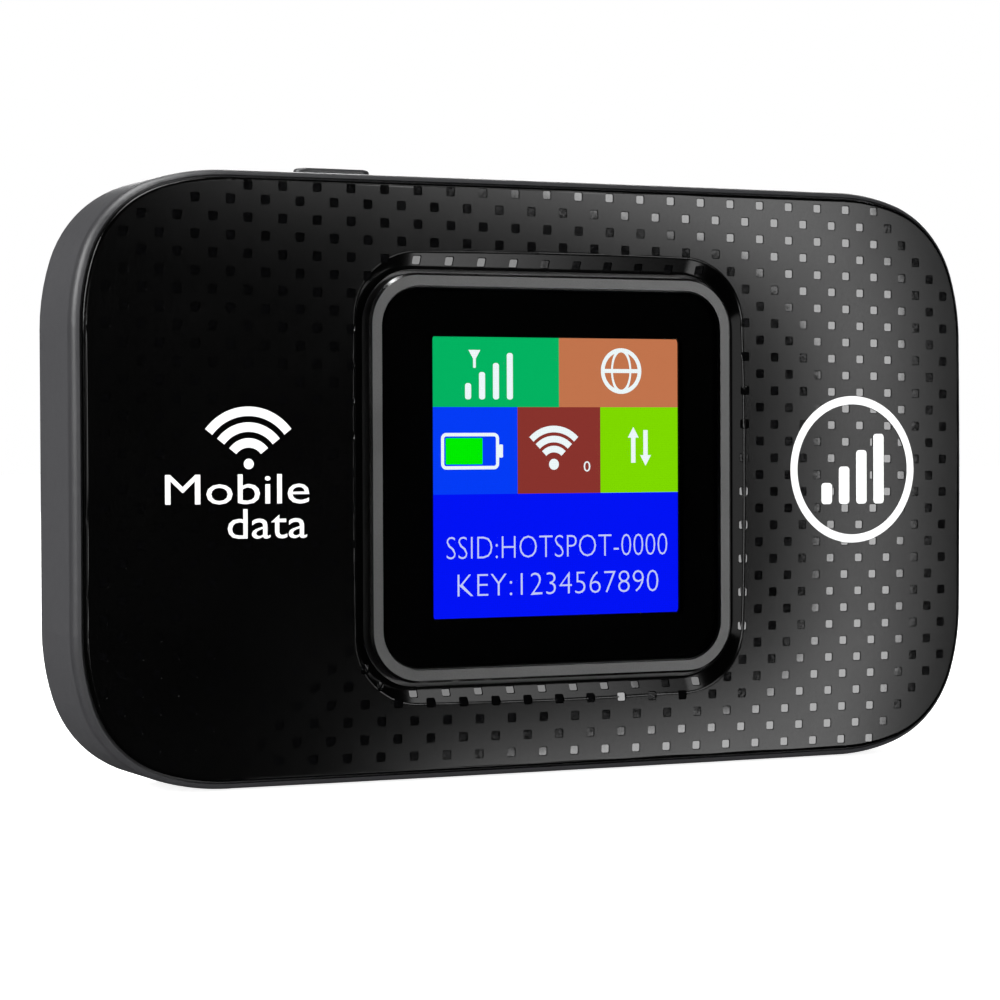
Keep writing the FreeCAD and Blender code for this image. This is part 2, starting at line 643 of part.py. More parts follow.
def rear_housing():
    """Inner rear housing: board cavity in front, battery bay and SIM pocket behind."""
    shell = slab(HOUSING_INSET, SEAM_Y, HOUSING_BACK_Y)
    shell = shell.makeFillet(REAR_EDGE_RADIUS - COVER_WALL - COVER_GAP + 0.1, rear_edges(shell, HOUSING_BACK_Y))
    inner = HOUSING_INSET + HOUSING_WALL
    deep = slab(inner, BAY_FLOOR_FRONT_Y, SKIN_Y)
    bay_block = block(BAY_LEFT_X - BAY_WALL, BAY_LEFT_X + BAY_WIDTH + BAY_WALL, BAY_FLOOR_FRONT_Y, SKIN_Y,
                      MIDDLE_Z - BAY_HEIGHT / 2 - BAY_WALL, MIDDLE_Z + BAY_HEIGHT / 2 + BAY_WALL)
    pocket_block = block(SIM_POCKET_LEFT_X - SIM_WALL, SIM_POCKET_RIGHT_X + SIM_WALL, BAY_FLOOR_FRONT_Y, SKIN_Y,
                         SIM_POCKET_BOTTOM_Z - SIM_WALL, SIM_POCKET_TOP_Z + SIM_WALL)
    columns = at_screws(lambda x, z: rod(COLUMN_RADIUS, x, z, BAY_FLOOR_FRONT_Y, SKIN_Y))
    guide = rod(RESET_GUIDE_RADIUS, RESET_X, RESET_Z, RESET_GUIDE_FRONT_Y, SKIN_Y)
    shallow = slab(inner, SEAM_Y, BAY_FLOOR_FRONT_Y)
    shell = shell.cut([shallow, deep.cut([bay_block, pocket_block, columns, guide])])
    return shell.fuse(housing_additions()).cut(housing_cuts()).removeSplitter()


def housing_additions():
    """Lands, screw columns and board supports of the rear housing."""
    case = slab(0, SEAM_Y, HOUSING_BACK_Y)
    added = [top_pad(0.0).common(case), usb_pad(0.0).common(case)]
    columns = at_screws(lambda x, z: rod(COLUMN_RADIUS, x, z, SEAM_Y, SKIN_Y))
    added.append(columns.common(slab(HOUSING_INSET + 0.2, SEAM_Y, SKIN_Y)))
    for x in BOARD_SUPPORTS_X:
        for z in BOARD_SUPPORTS_Z:
            added.append(rod(BOARD_SUPPORT_RADIUS, x, z, BOARD_BACK_Y, BAY_FLOOR_FRONT_Y + 0.2))
    return added


def housing_cuts():
    """Battery bay, SIM pocket, holes and slots of the rear housing."""
    bay_right = BAY_LEFT_X + BAY_WIDTH
    bay_bottom = MIDDLE_Z - BAY_HEIGHT / 2
    bay = rounded_block(BAY_LEFT_X, bay_right, BAY_FLOOR_BACK_Y, BACK_Y, bay_bottom, bay_bottom + BAY_HEIGHT,
                        1.0, Vector(0, 1, 0))
    scoop = rod(SCOOP_RADIUS, bay_right - SCOOP_RADIUS + 3.0, MIDDLE_Z, SCOOP_FLOOR_Y, BACK_Y)
    contact_gap = block(BAY_LEFT_X - BAY_WALL - 0.1, BAY_LEFT_X, BAY_FLOOR_FRONT_Y, SKIN_Y,
                        CONTACT_BLOCK[2] - CONTACT_BLOCK_GAP, CONTACT_BLOCK[3] + CONTACT_BLOCK_GAP)
    pocket = block(SIM_POCKET_LEFT_X, SIM_POCKET_RIGHT_X, BAY_FLOOR_FRONT_Y - 1, BACK_Y,
                   SIM_POCKET_BOTTOM_Z, SIM_POCKET_TOP_Z)
    reset_hole = rod(RESET_RADIUS + 0.12, RESET_X, RESET_Z, 0, BACK_Y)
    sockets = at_screws(lambda x, z: rod(BOSS_RADIUS + 0.1, x, z, SEAM_Y, BOSS_BACK_Y + 0.1))
    bores = at_screws(lambda x, z: rod(SCREW_RADIUS + 0.1, x, z, SEAM_Y, SCREW_SEAT_Y))
    heads = at_screws(lambda x, z: rod(SCREW_HEAD_RADIUS + 0.25, x, z, SCREW_SEAT_Y, BACK_Y))
    gap = BUTTON_CLEARANCE
    slot = rounded_block(BUTTON_X - BUTTON_LENGTH / 2 - gap, BUTTON_X + BUTTON_LENGTH / 2 + gap,
                         BUTTON_Y - BUTTON_DEPTH / 2 - gap, BUTTON_Y + BUTTON_DEPTH / 2 + gap,
                         HEIGHT - 5, HEIGHT + 1, BUTTON_END_RADIUS + gap, Vector(0, 0, 1))
    socket_hole = stadium(USB_WIDTH + 0.3, USB_THICKNESS + 0.3, WIDTH / 2 - 5, WIDTH / 2 + 1, USB_Y)
    return [bay, scoop, contact_gap, pocket, reset_hole, sockets, bores, heads, slot, socket_hole]


def rear_cover():
    """Pull-off rear cover: flat back, full side walls, notches for button and socket, nail slot."""
    outer = slab(0, SEAM_Y, BACK_Y)
    outer = outer.makeFillet(REAR_EDGE_RADIUS, rear_edges(outer, BACK_Y))
    inner_back = BACK_Y - COVER_WALL
    inner = slab(COVER_WALL, SEAM_Y - 1, inner_back)
    inner = inner.makeFillet(REAR_EDGE_RADIUS - COVER_WALL, rear_edges(inner, inner_back))
    nail_slot = rounded_block(WIDTH / 2 - 2, WIDTH / 2 + 1, SEAM_Y - 3, SEAM_Y + 0.9, 11.0, 19.0, 0.6,
                              Vector(1, 0, 0))
    cover = outer.cut([inner, top_pad(0.25), usb_pad(0.25), nail_slot])
    return cover.fuse(cover_catches()).removeSplitter()


def cover_catches():
    """Low snap ribs inside the cover's long walls, near the seam."""
    catches = []
    proud = 0.12
    for x in (-4.0, 26.0):
        for z0, z1 in ((COVER_WALL - 0.2, COVER_WALL + proud),
                       (HEIGHT - COVER_WALL - proud, HEIGHT - COVER_WALL + 0.2)):
            catches.append(block(x - 3.0, x + 3.0, -3.0, -2.4, z0, z1))
    return catches


def housing_screws():
    """Four small cross-head screws that clamp the rear housing to the front frame."""
    screws = []
    for x in (-SCREW_X, SCREW_X):
        for z in (MIDDLE_Z - SCREW_Z_OFFSET, MIDDLE_Z + SCREW_Z_OFFSET):
            head_back = SCREW_SEAT_Y + SCREW_HEAD_HEIGHT
            head = rod(SCREW_HEAD_RADIUS, x, z, SCREW_SEAT_Y, head_back)
            shank = rod(SCREW_RADIUS, x, z, WEB_FRONT_Y + 0.4, SCREW_SEAT_Y)
            across = block(x - 0.85, x + 0.85, head_back - 0.5, head_back, z - 0.18, z + 0.18)
            upright = block(x - 0.18, x + 0.18, head_back - 0.5, head_back, z - 0.85, z + 0.85)
            screws.append(head.fuse(shank).cut([across, upright]))
    return Part.makeCompound(screws)


# ---------------------------------------------------------- moving parts ----

def power_button():
    """Power key: a rounded bar through the top wall, with a flange that stops it falling out."""
    half_length = BUTTON_LENGTH / 2
    half_depth = BUTTON_DEPTH / 2
    top_z = HEIGHT + BUTTON_PROUD
    bar = rounded_block(BUTTON_X - half_length, BUTTON_X + half_length, BUTTON_Y - half_depth,
                        BUTTON_Y + half_depth, BUTTON_BOTTOM_Z, top_z, BUTTON_END_RADIUS, Vector(0, 0, 1))
    bar = bar.makeFillet(BUTTON_TOP_RADIUS, [edge for edge in bar.Edges if edge.BoundBox.ZMin > top_z - 0.01])
    half_length += BUTTON_FLANGE_SIDE
    half_depth += BUTTON_FLANGE_DEPTH
    flange = block(BUTTON_X - half_length, BUTTON_X + half_length, BUTTON_Y - half_depth,
                   BUTTON_Y + half_depth, BUTTON_BOTTOM_Z, BUTTON_BOTTOM_Z + BUTTON_FLANGE_THICKNESS)
    return bar.fuse(flange)


def power_plunger():
    """Plunger of the power switch, held against the key's flange."""
    half_width = PLUNGER_WIDTH / 2
    half_depth = PLUNGER_DEPTH / 2
    return block(BUTTON_X - half_width, BUTTON_X + half_width, BUTTON_Y - half_depth, BUTTON_Y + half_depth,
                 PLUNGER_BOTTOM_Z, BUTTON_BOTTOM_Z)


def reset_button():
    """Reset pin: a round rod with a collar and a thin tip that enters its switch."""
    stem = rod(RESET_RADIUS, RESET_X, RESET_Z, RESET_COLLAR_FRONT_Y, RESET_BACK_Y)
    collar = rod(RESET_COLLAR_RADIUS, RESET_X, RESET_Z, RESET_COLLAR_FRONT_Y, RESET_COLLAR_BACK_Y)
    tip = rod(RESET_TIP_RADIUS, RESET_X, RESET_Z, RESET_TIP_Y, RESET_COLLAR_FRONT_Y)
    return stem.fuse([collar, tip])


def sim_card():
    """Micro SIM card with its cut corner."""
    left = SIM_CARD_X - SIM_CARD_WIDTH / 2
    right = left + SIM_CARD_WIDTH
    top_z = SIM_CARD_BOTTOM_Z + SIM_CARD_LENGTH
    corners = [
        (left, SIM_CARD_BOTTOM_Z),
        (right, SIM_CARD_BOTTOM_Z),
        (right, top_z - SIM_CARD_CORNER),
        (right - SIM_CARD_CORNER, top_z),
        (left, top_z),
    ]
    points = [Vector(x, SIM_CARD_FRONT_Y, z) for x, z in corners]
    face = Part.Face(Part.makePolygon(points + points[:1]))
    return face.extrude(Vector(0, SIM_CARD_THICKNESS, 0))


def battery():
    """Flat removable lithium battery pack."""
    bottom = MIDDLE_Z - BATTERY_HEIGHT / 2
    return rounded_block(BATTERY_LEFT_X, BATTERY_LEFT_X + BATTERY_WIDTH, BATTERY_FRONT_Y,
                         BATTERY_FRONT_Y + BATTERY_THICKNESS, bottom, bottom + BATTERY_HEIGHT,
                         BATTERY_CORNER_RADIUS, Vector(0, 1, 0))


def battery_label():
    """Plain paper label on the back of the battery."""
    back = BATTERY_FRONT_Y + BATTERY_THICKNESS
    left = BATTERY_LEFT_X + (BATTERY_WIDTH - LABEL_WIDTH) / 2
    bottom = MIDDLE_Z - LABEL_HEIGHT / 2
    return rounded_block(left, left + LABEL_WIDTH, back, back + LABEL_THICKNESS, bottom, bottom + LABEL_HEIGHT,
                         BATTERY_CORNER_RADIUS, Vector(0, 1, 0))


def battery_terminals():
    """Gold-plated pads on the end of the battery."""
    pads = []
    half_depth = LEAF_RADIUS + 0.4
    half_width = CONTACT_WIDTH / 2 + 0.3
    for z in contact_heights():
        pads.append(block(BATTERY_LEFT_X - 0.1, BATTERY_LEFT_X, CONTACT_Y - half_depth, CONTACT_Y + half_depth,
                          z - half_width, z + half_width))
    return Part.makeCompound(pads)


NODES = {
    "front_panel": front_panel,
    "front_frame": front_frame,
    "panel_tape": panel_tape,
    "display_ring": display_ring,
    "display_window": display_window,
    "window_gasket": window_gasket,
    "lcd_glass": lcd_glass,
    "lcd_backlight": lcd_backlight,
    "lcd_ribbon": lcd_ribbon,
    "lcd_connector": lcd_connector,
    "display_pad": display_pad,
    "main_board": main_board,
    "board_chips": board_chips,
    "shield_can_modem": lambda: shield_can(MODEM_CAN),
    "shield_can_wireless": lambda: shield_can(WIRELESS_CAN),
    "usb_shell": usb_shell,
    "usb_tongue": usb_tongue,
    "power_switch": power_switch,
    "power_plunger": power_plunger,
    "power_button": power_button,
    "reset_switch": reset_switch,
    "reset_button": reset_button,
    "sim_socket_base": sim_socket_base,
    "sim_socket_shell": sim_socket_shell,
    "sim_card": sim_card,
    "battery_contact_block": battery_contact_block,
    "battery_contacts": battery_contacts,
    "battery": battery,
    "battery_label": battery_label,
    "battery_terminals": battery_terminals,
    "main_antenna": lambda: antenna(MAIN_ANTENNA),
    "wireless_antenna": lambda: antenna(WIRELESS_ANTENNA),
    "antenna_clips": antenna_clips,
    "rear_housing": rear_housing,
    "rear_cover": rear_cover,
    "housing_screws": housing_screws,
}

os.makedirs("parts", exist_ok=True)
for node, make in NODES.items():
    make().exportStep("parts/" + node + ".step")
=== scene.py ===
import math

import bpy
from mathutils import Matrix, Vector


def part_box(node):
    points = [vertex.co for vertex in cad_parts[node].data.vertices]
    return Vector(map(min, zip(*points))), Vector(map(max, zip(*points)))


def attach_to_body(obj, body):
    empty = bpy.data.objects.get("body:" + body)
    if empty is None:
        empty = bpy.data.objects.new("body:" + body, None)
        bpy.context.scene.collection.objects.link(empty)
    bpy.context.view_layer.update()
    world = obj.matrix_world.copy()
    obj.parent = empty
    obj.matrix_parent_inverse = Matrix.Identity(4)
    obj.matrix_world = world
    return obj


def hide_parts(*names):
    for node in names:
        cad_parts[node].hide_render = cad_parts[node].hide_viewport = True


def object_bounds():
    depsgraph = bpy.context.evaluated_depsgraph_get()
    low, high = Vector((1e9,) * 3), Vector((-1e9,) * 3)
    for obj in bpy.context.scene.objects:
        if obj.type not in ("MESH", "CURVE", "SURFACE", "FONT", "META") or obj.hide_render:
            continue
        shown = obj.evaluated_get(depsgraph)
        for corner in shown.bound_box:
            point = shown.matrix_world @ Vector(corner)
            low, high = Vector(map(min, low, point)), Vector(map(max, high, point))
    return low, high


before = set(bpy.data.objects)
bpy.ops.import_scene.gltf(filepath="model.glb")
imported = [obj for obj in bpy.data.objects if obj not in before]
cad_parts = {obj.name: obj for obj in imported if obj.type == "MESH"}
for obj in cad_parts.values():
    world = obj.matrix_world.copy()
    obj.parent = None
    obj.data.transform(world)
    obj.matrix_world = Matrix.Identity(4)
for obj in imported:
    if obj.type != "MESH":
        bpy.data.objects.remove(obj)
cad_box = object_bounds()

# ---- front frame ----
# The front half of the case: grey ABS, moulded, with a fine satin coat.  Its rim
# stands round the faceplate and its web carries the tape that holds the plate.

MM = 0.001


def linear(colour):
    """An sRGB hex colour as linear red, green, blue and alpha."""
    channels = [int(colour[start:start + 2], 16) / 255 for start in (1, 3, 5)]
    straight = [c / 12.92 if c <= 0.04045 else ((c + 0.055) / 1.055) ** 2.4 for c in channels]
    return straight + [1.0]


def feed(tree, node, inputs):
    """Sets a node's inputs: each is a number, a colour or the socket that feeds it."""
    for name, value in inputs.items():
        if isinstance(value, bpy.types.NodeSocket):
            tree.links.new(value, node.inputs[name])
        else:
            node.inputs[name].default_value = value


def add(tree, kind, inputs, **settings):
    """Adds one node with its settings and links."""
    node = tree.nodes.new(kind)
    for name, value in settings.items():
        setattr(node, name, value)
    feed(tree, node, inputs)
    return node


def blank_material(name):
    """A new material with only its shader, and the object coordinates for its patterns."""
    material = bpy.data.materials.new(name)
    material.use_nodes = True
    tree = material.node_tree
    tree.nodes.clear()
    place = add(tree, "ShaderNodeTexCoord", {}).outputs["Object"]
    shader = add(tree, "ShaderNodeBsdfPrincipled", {})
    add(tree, "ShaderNodeOutputMaterial", {"Surface": shader.outputs[0]})
    return material, tree, place, shader


def grained(name, dark, light, gloss, grain, relief, drift=6 * MM, stretch=(1, 1, 1), **values):
    """A surface with a fine grain in relief, whose colour and gloss drift over a few millimetres.

    gloss is the lowest and highest roughness, grain the grain's size and relief its height.
    stretch draws the grain out along an axis, as brushing or rolling does.
    """
    material, tree, place, shader = blank_material(name)
    shrink = [1 / length for length in stretch]
    laid = add(tree, "ShaderNodeMapping", {"Vector": place, "Scale": shrink}).outputs[0]
    noise = "ShaderNodeTexNoise"
    fine = add(tree, noise, {"Vector": laid, "Scale": 1 / grain, "Detail": 2.0}).outputs[0]
    broad = add(tree, noise, {"Vector": laid, "Scale": 1 / drift, "Detail": 3.0}).outputs[0]
    worn = add(tree, "ShaderNodeMath", {0: fine, 1: broad}, operation="ADD").outputs[0]
    span = {"Value": worn, "From Min": 0.7, "From Max": 1.3}      # where most of the sum lies
    share = add(tree, "ShaderNodeMapRange", span).outputs[0]
    shades = {0: share, 6: linear(dark), 7: linear(light)}
    colour = add(tree, "ShaderNodeMix", shades, data_type="RGBA")
    rough = add(tree, "ShaderNodeMapRange", {**span, "To Min": gloss[0], "To Max": gloss[1]})
    bump = add(tree, "ShaderNodeBump", {"Height": fine, "Distance": relief, "Strength": 1.0})
    feed(tree, shader, {"Base Color": colour.outputs[2], "Roughness": rough.outputs[0],
                        "Normal": bump.outputs[0], **values})
    return material


def finish(material, *nodes):
    """Gives CAD nodes their material."""
    for node in nodes:
        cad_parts[node].data.materials[0] = material


# Satin-coated ABS: the coat levels the moulding, so it glows softly with hardly any grain.
satin_abs = grained("satin_coated_abs", "#2e2e30", "#323234", gloss=(0.38, 0.43),
                    grain=0.16 * MM, relief=0.0014 * MM, drift=1.2 * MM, IOR=1.5)
finish(satin_abs, "front_frame")

# ---- faceplate ----
# The crowned faceplate: black acrylic-ABS, moulded with an all-over lattice of small square pits
# and a shallow dish for the display.  It is taped into the frame's rim.

CROWN_DROP_SIDES = 0.85 * MM
CROWN_DROP_ENDS = 0.45 * MM
PLATE_CORNER_RADIUS = 13.5 * MM
CREASE = (43.7 * MM, 45.6 * MM, 6.9 * MM)       # width, height and corner radius of the dish's rim
FOOT = (40.8 * MM, 40.8 * MM, 5.5 * MM)         # and of its foot, beside the trim ring
DISH_DEPTH = 1.1 * MM
CREASE_BEVEL = 0.17 * MM
PIT_PITCH_X = 1.748 * MM                        # half the spacing of the pits in one row
PIT_PITCH_Z = 1.727 * MM                        # from one row to the next
PIT_START = (2.46 * MM, 0.34 * MM)              # one pit, from the middle of the plate
PIT_LEAN = math.radians(0.7)                    # the lattice is this far off square
PIT_MOUTH = 0.93 * MM
PIT_FLOOR_SHARE = 0.86                          # floor to mouth, so that the pit draws from its tool
PIT_DEPTH = 0.09 * MM
PIT_CORNER = 0.14 * MM
PIT_COLUMNS = 30
PIT_ROWS = 18
PIT_EDGE_MARGIN = 0.72 * MM                     # from a pit's middle to the edge of the plate
PIT_EDGE_REACH = 0.2 * MM                       # a top pit between the two is moved down
PIT_EDGE_SPARE = 1.01                           # to just past the margin
TOP_ROW_HALF_WIDTH = 35 * MM
PIT_FOOT_MARGIN = 0.5 * PIT_MOUTH               # from a pit's middle to the foot of the dish
FOOT_ROW = (-20.4 * MM, 18 * MM)                # the row at this height, over this half width,
FOOT_ROW_REACH = 0.4 * MM
FOOT_ROW_Z = -20.98 * MM                        # is set here, so that it clears the ring
FLAT_ENOUGH = 0.9                               # least |y| of a normal that faces front or back
CREASE_TURN = math.radians(15)                  # a sharper edge may be the crease
CROWN_FIT = 0.03 * MM                           # and it lies this near the crown
DISH_FIT = 0.06 * MM                            # and this near the dish

plate_low, plate_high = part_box("front_panel")
front_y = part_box("display_ring")[0].y
middle_z = (plate_low.z + plate_high.z) / 2
plate_half_width = plate_high.x
plate_half_height = (plate_high.z - plate_low.z) / 2
radius_across = plate_half_width ** 2 / (2 * CROWN_DROP_SIDES)
radius_up = plate_half_height ** 2 / (2 * CROWN_DROP_ENDS)


def crown(x, z):
    """Depth of the front's crown, which is part of a wide torus."""
    fall = radius_up - math.sqrt(radius_up ** 2 - (z - middle_z) ** 2)
    return front_y + radius_across - math.sqrt((radius_across - fall) ** 2 - x ** 2)


def depth_inside(x, z, width, height, radius):
    """How far a point of the front lies inside a centred rounded rectangle, below 0 outside it."""
    past_x = abs(x) - width / 2 + radius
    past_z = abs(z - middle_z) - height / 2 + radius
    return radius - math.hypot(max(past_x, 0), max(past_z, 0)) - min(max(past_x, past_z), 0)


def dish(x, z):
    """Depth of the dish's slope, carried on past its rim."""
    from_crease = depth_inside(x, z, *CREASE)
    from_foot = -depth_inside(x, z, *FOOT)
    slope_width = max(from_crease + from_foot, 0.01 * MM)
    return front_y + DISH_DEPTH * from_crease / slope_width


def faceplate_surface(x, z):
    """Depth of the faceplate's moulded face, crown or dish."""
    return max(crown(x, z), dish(x, z))


def choose(piece, kind, wanted):
    """Opens one piece in edit mode with only the wanted vertices, edges or faces selected."""
    bpy.ops.object.select_all(action="DESELECT")
    bpy.context.view_layer.objects.active = piece
    piece.select_set(True)
    bpy.ops.object.mode_set(mode="EDIT")
    bpy.ops.mesh.select_mode(type=kind)
    bpy.ops.mesh.select_all(action="DESELECT")
    bpy.ops.object.mode_set(mode="OBJECT")
    mesh = piece.data
    parts = {"VERT": mesh.vertices, "EDGE": mesh.edges, "FACE": mesh.polygons}
    for part in parts[kind]:
        part.select = wanted(part)
    bpy.ops.object.mode_set(mode="EDIT")


def close_edit():
    """Leaves edit mode."""
    bpy.ops.object.mode_set(mode="OBJECT")


def settle(piece):
    """Puts a piece's place, turn and scale into its mesh."""
    bpy.ops.object.select_all(action="DESELECT")
    bpy.context.view_layer.objects.active = piece
    piece.select_set(True)
    bpy.ops.object.transform_apply(location=True, rotation=True, scale=True)


def smooth(piece, angle=30):
    """Smooth shading, broken where the surface turns by more than an angle in degrees."""
    bpy.ops.object.select_all(action="DESELECT")
    bpy.context.view_layer.objects.active = piece
    piece.select_set(True)
    bpy.ops.object.shade_smooth_by_angle(angle=math.radians(angle))


def fresh_copy(node, name):
    """A new piece with a CAD node's shape, its loose triangles merged into one skin."""
    piece = bpy.data.objects.new(name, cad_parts[node].data.copy())
    bpy.context.scene.collection.objects.link(piece)
    piece.data.materials.clear()
    choose(piece, "VERT", lambda vertex: True)
    bpy.ops.mesh.customdata_custom_splitnormals_clear()
    bpy.ops.mesh.remove_doubles(threshold=0.0001 * MM)
    close_edit()
    return piece


def attach(piece, body, slot, *replaced):
    """Puts a finished piece on the body it rides on and hides the CAD nodes that it stands for; slot
    is not used.
    """
    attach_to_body(piece, body)
    if replaced:
        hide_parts(*replaced)


# Satin acrylic-ABS: deep black, and just rough enough to spread a lamp into a soft glow.
satin_acrylic = grained("satin_black_acrylic_abs", "#010101", "#020202", gloss=(0.135, 0.16),
                        grain=0.25 * MM, relief=0.0003 * MM, drift=9 * MM, IOR=1.5,
                        **{"Specular IOR Level": 0.19})

# The same moulding where the tool was polished: each pit floor is a small dark mirror.
polished_acrylic = grained("polished_black_acrylic_abs", "#030303", "#050506", gloss=(0.03, 0.07),
                           grain=0.3 * MM, relief=0.00005 * MM, IOR=1.5)

faceplate = fresh_copy("front_panel", "faceplate")
faceplate.data.materials.append(satin_acrylic)

# The crease between crown and dish is where the two surfaces meet, and its edge is rounded.
choose(faceplate, "EDGE", lambda edge: False)
bpy.ops.mesh.edges_select_sharp(sharpness=CREASE_TURN)
close_edit()
crease_edges = set()
for edge in faceplate.data.edges:
    ends = [faceplate.data.vertices[index].co for index in edge.vertices]
    on_crown = all(abs(end.y - crown(end.x, end.z)) < CROWN_FIT for end in ends)
    on_dish = all(abs(end.y - dish(end.x, end.z)) < DISH_FIT for end in ends)
    if edge.select and on_crown and on_dish:
        crease_edges.add(edge.index)
choose(faceplate, "EDGE", lambda edge: edge.index in crease_edges)
bpy.ops.mesh.bevel(offset=CREASE_BEVEL, segments=3)
close_edit()

# One pit is shaped as the block that fills it, narrower at its floor and as much wider above.
bpy.ops.object.select_all(action="DESELECT")
first_x = PIT_START[0] - PIT_COLUMNS // 2 * 2 * PIT_PITCH_X
first_z = middle_z + PIT_START[1] - PIT_ROWS // 2 * 2 * PIT_PITCH_Z
bpy.ops.mesh.primitive_cube_add(size=1, location=(first_x, 0, first_z),
                                scale=(PIT_MOUTH, 2 * PIT_DEPTH, PIT_MOUTH))
pits = bpy.context.object
pits.name = "pit_cutter"
settle(pits)


def runs_deep(edge):
    """True of an edge of the pit that runs from its mouth to its floor."""
    start, end = [pits.data.vertices[index].co.y for index in edge.vertices]
    return abs(start - end) > PIT_DEPTH


choose(pits, "EDGE", runs_deep)
bpy.ops.mesh.bevel(offset=PIT_CORNER, segments=2)
close_edit()
for side, share in ((1, PIT_FLOOR_SHARE), (-1, 2 - PIT_FLOOR_SHARE)):
    choose(pits, "FACE", lambda face: face.normal.y * side > FLAT_ENOUGH)
    bpy.ops.transform.resize(value=(share, 1, share), center_override=(first_x, 0, first_z))
    close_edit()
pits.data.materials.append(polished_acrylic)
pits.data.materials.append(satin_acrylic)
for face in pits.data.polygons:
    face.material_index = 0 if abs(face.normal.y) > FLAT_ENOUGH else 1
pit_vertices = len(pits.data.vertices)

# It is repeated into a lattice whose second half fills the gaps of the first, then turned.
lattice = (
    (PIT_COLUMNS, (2 * PIT_PITCH_X, 0, 0)),
    (PIT_ROWS, (0, 0, 2 * PIT_PITCH_Z)),
    (2, (PIT_PITCH_X, 0, PIT_PITCH_Z)),
)
for count, pitch in lattice:
    row = pits.modifiers.new("row", "ARRAY")
    row.use_relative_offset = False
    row.use_constant_offset = True
    row.count = count
    row.constant_offset_displace = pitch
    bpy.ops.object.modifier_apply(modifier=row.name)
to_middle = Matrix.Translation((0, 0, middle_z))
lean = Matrix.Rotation(PIT_LEAN, 4, "Y")
pits.data.transform(to_middle @ lean @ to_middle.inverted())

# Pits past the edge of the plate or inside the dish's foot are left out.
plate_outline = (2 * plate_half_width, 2 * plate_half_height, PLATE_CORNER_RADIUS)
kept = []
for first in range(0, len(pits.data.vertices), pit_vertices):
    corners = [pits.data.vertices[index].co for index in range(first, first + pit_vertices)]
    x = sum(corner.x for corner in corners) / pit_vertices
    z = sum(corner.z for corner in corners) / pit_vertices
    if abs(z - middle_z - FOOT_ROW[0]) < FOOT_ROW_REACH and abs(x) < FOOT_ROW[1]:
        for corner in corners:
            corner.z += middle_z + FOOT_ROW_Z - z
        z = middle_z + FOOT_ROW_Z
    edge_room = depth_inside(x, z, *plate_outline)
    in_top_row = z > middle_z and abs(x) < TOP_ROW_HALF_WIDTH
    if in_top_row and PIT_EDGE_REACH < edge_room < PIT_EDGE_MARGIN:
        for corner in corners:
            corner.z -= PIT_EDGE_SPARE * (PIT_EDGE_MARGIN - edge_room)
        edge_room = PIT_EDGE_SPARE * PIT_EDGE_MARGIN
    clears_foot = depth_inside(x, z, *FOOT) < -PIT_FOOT_MARGIN
    kept.append(edge_room > PIT_EDGE_MARGIN and clears_foot)
choose(pits, "VERT", lambda vertex: not kept[vertex.index // pit_vertices])
bpy.ops.mesh.delete(type="VERT")
close_edit()
for vertex in pits.data.vertices:
    vertex.co.y += faceplate_surface(vertex.co.x, vertex.co.z)

# The cut is worked out at a thousand times the size, where it is exact enough.
for piece in (faceplate, pits):
    piece.data.transform(Matrix.Scale(1 / MM, 4))
sink = faceplate.modifiers.new("pits", "BOOLEAN")
sink.object = pits
sink.operation = "DIFFERENCE"
sink.solver = "EXACT"
sink.material_mode = "TRANSFER"
sink.use_self = True
bpy.ops.object.select_all(action="DESELECT")
bpy.context.view_layer.objects.active = faceplate
bpy.ops.object.modifier_apply(modifier=sink.name)
faceplate.data.transform(Matrix.Scale(MM, 4))
bpy.data.objects.remove(pits)
smooth(faceplate)


def facing(x, z, surface):
    """The outward direction of a surface that is given as a depth over the front."""
    step = 0.01 * MM
    across = (surface(x + step, z) - surface(x - step, z)) / (2 * step)
    up = (surface(x, z + step) - surface(x, z - step)) / (2 * step)
    return Vector((across, -1, up)).normalized()


# The moulding's true curve carries the light evenly over the small faces between the pits.  A
# face that lies along it takes its direction at every corner, and one that leans, such as a
# rounded edge, only at the corners that are right on it.
ALONG_CROWN = 0.9995            # cosines between a face and the curve below it
ALONG_DISH = 0.9985
MOST_LEAN = 0.93
NEAR_CURVE = 0.03 * MM
ON_CURVE = 0.004 * MM

mesh = faceplate.data
directions = [Vector(corner.vector) for corner in mesh.corner_normals]
for face in mesh.polygons:
    for surface, along in ((crown, ALONG_CROWN), (dish, ALONG_DISH)):
        agreement = face.normal.dot(facing(face.center.x, face.center.z, surface))
        if agreement < MOST_LEAN:
            continue
        near = NEAR_CURVE if agreement > along else ON_CURVE
        for corner in face.loop_indices:
            point = mesh.vertices[mesh.loops[corner].vertex_index].co
            if abs(point.y - surface(point.x, point.z)) < near:
                directions[corner] = facing(point.x, point.z, surface)
mesh.normals_split_custom_set(directions)
attach(faceplate, "case", "panel_gloss", "front_panel")

# ---- printing on the faceplate ----
# White pad-printed ink: a ringed level mark on the right, and a fan of arcs over two plain words
# on the left.  Each is a film that follows the crown and stands 0.03 mm proud of it.

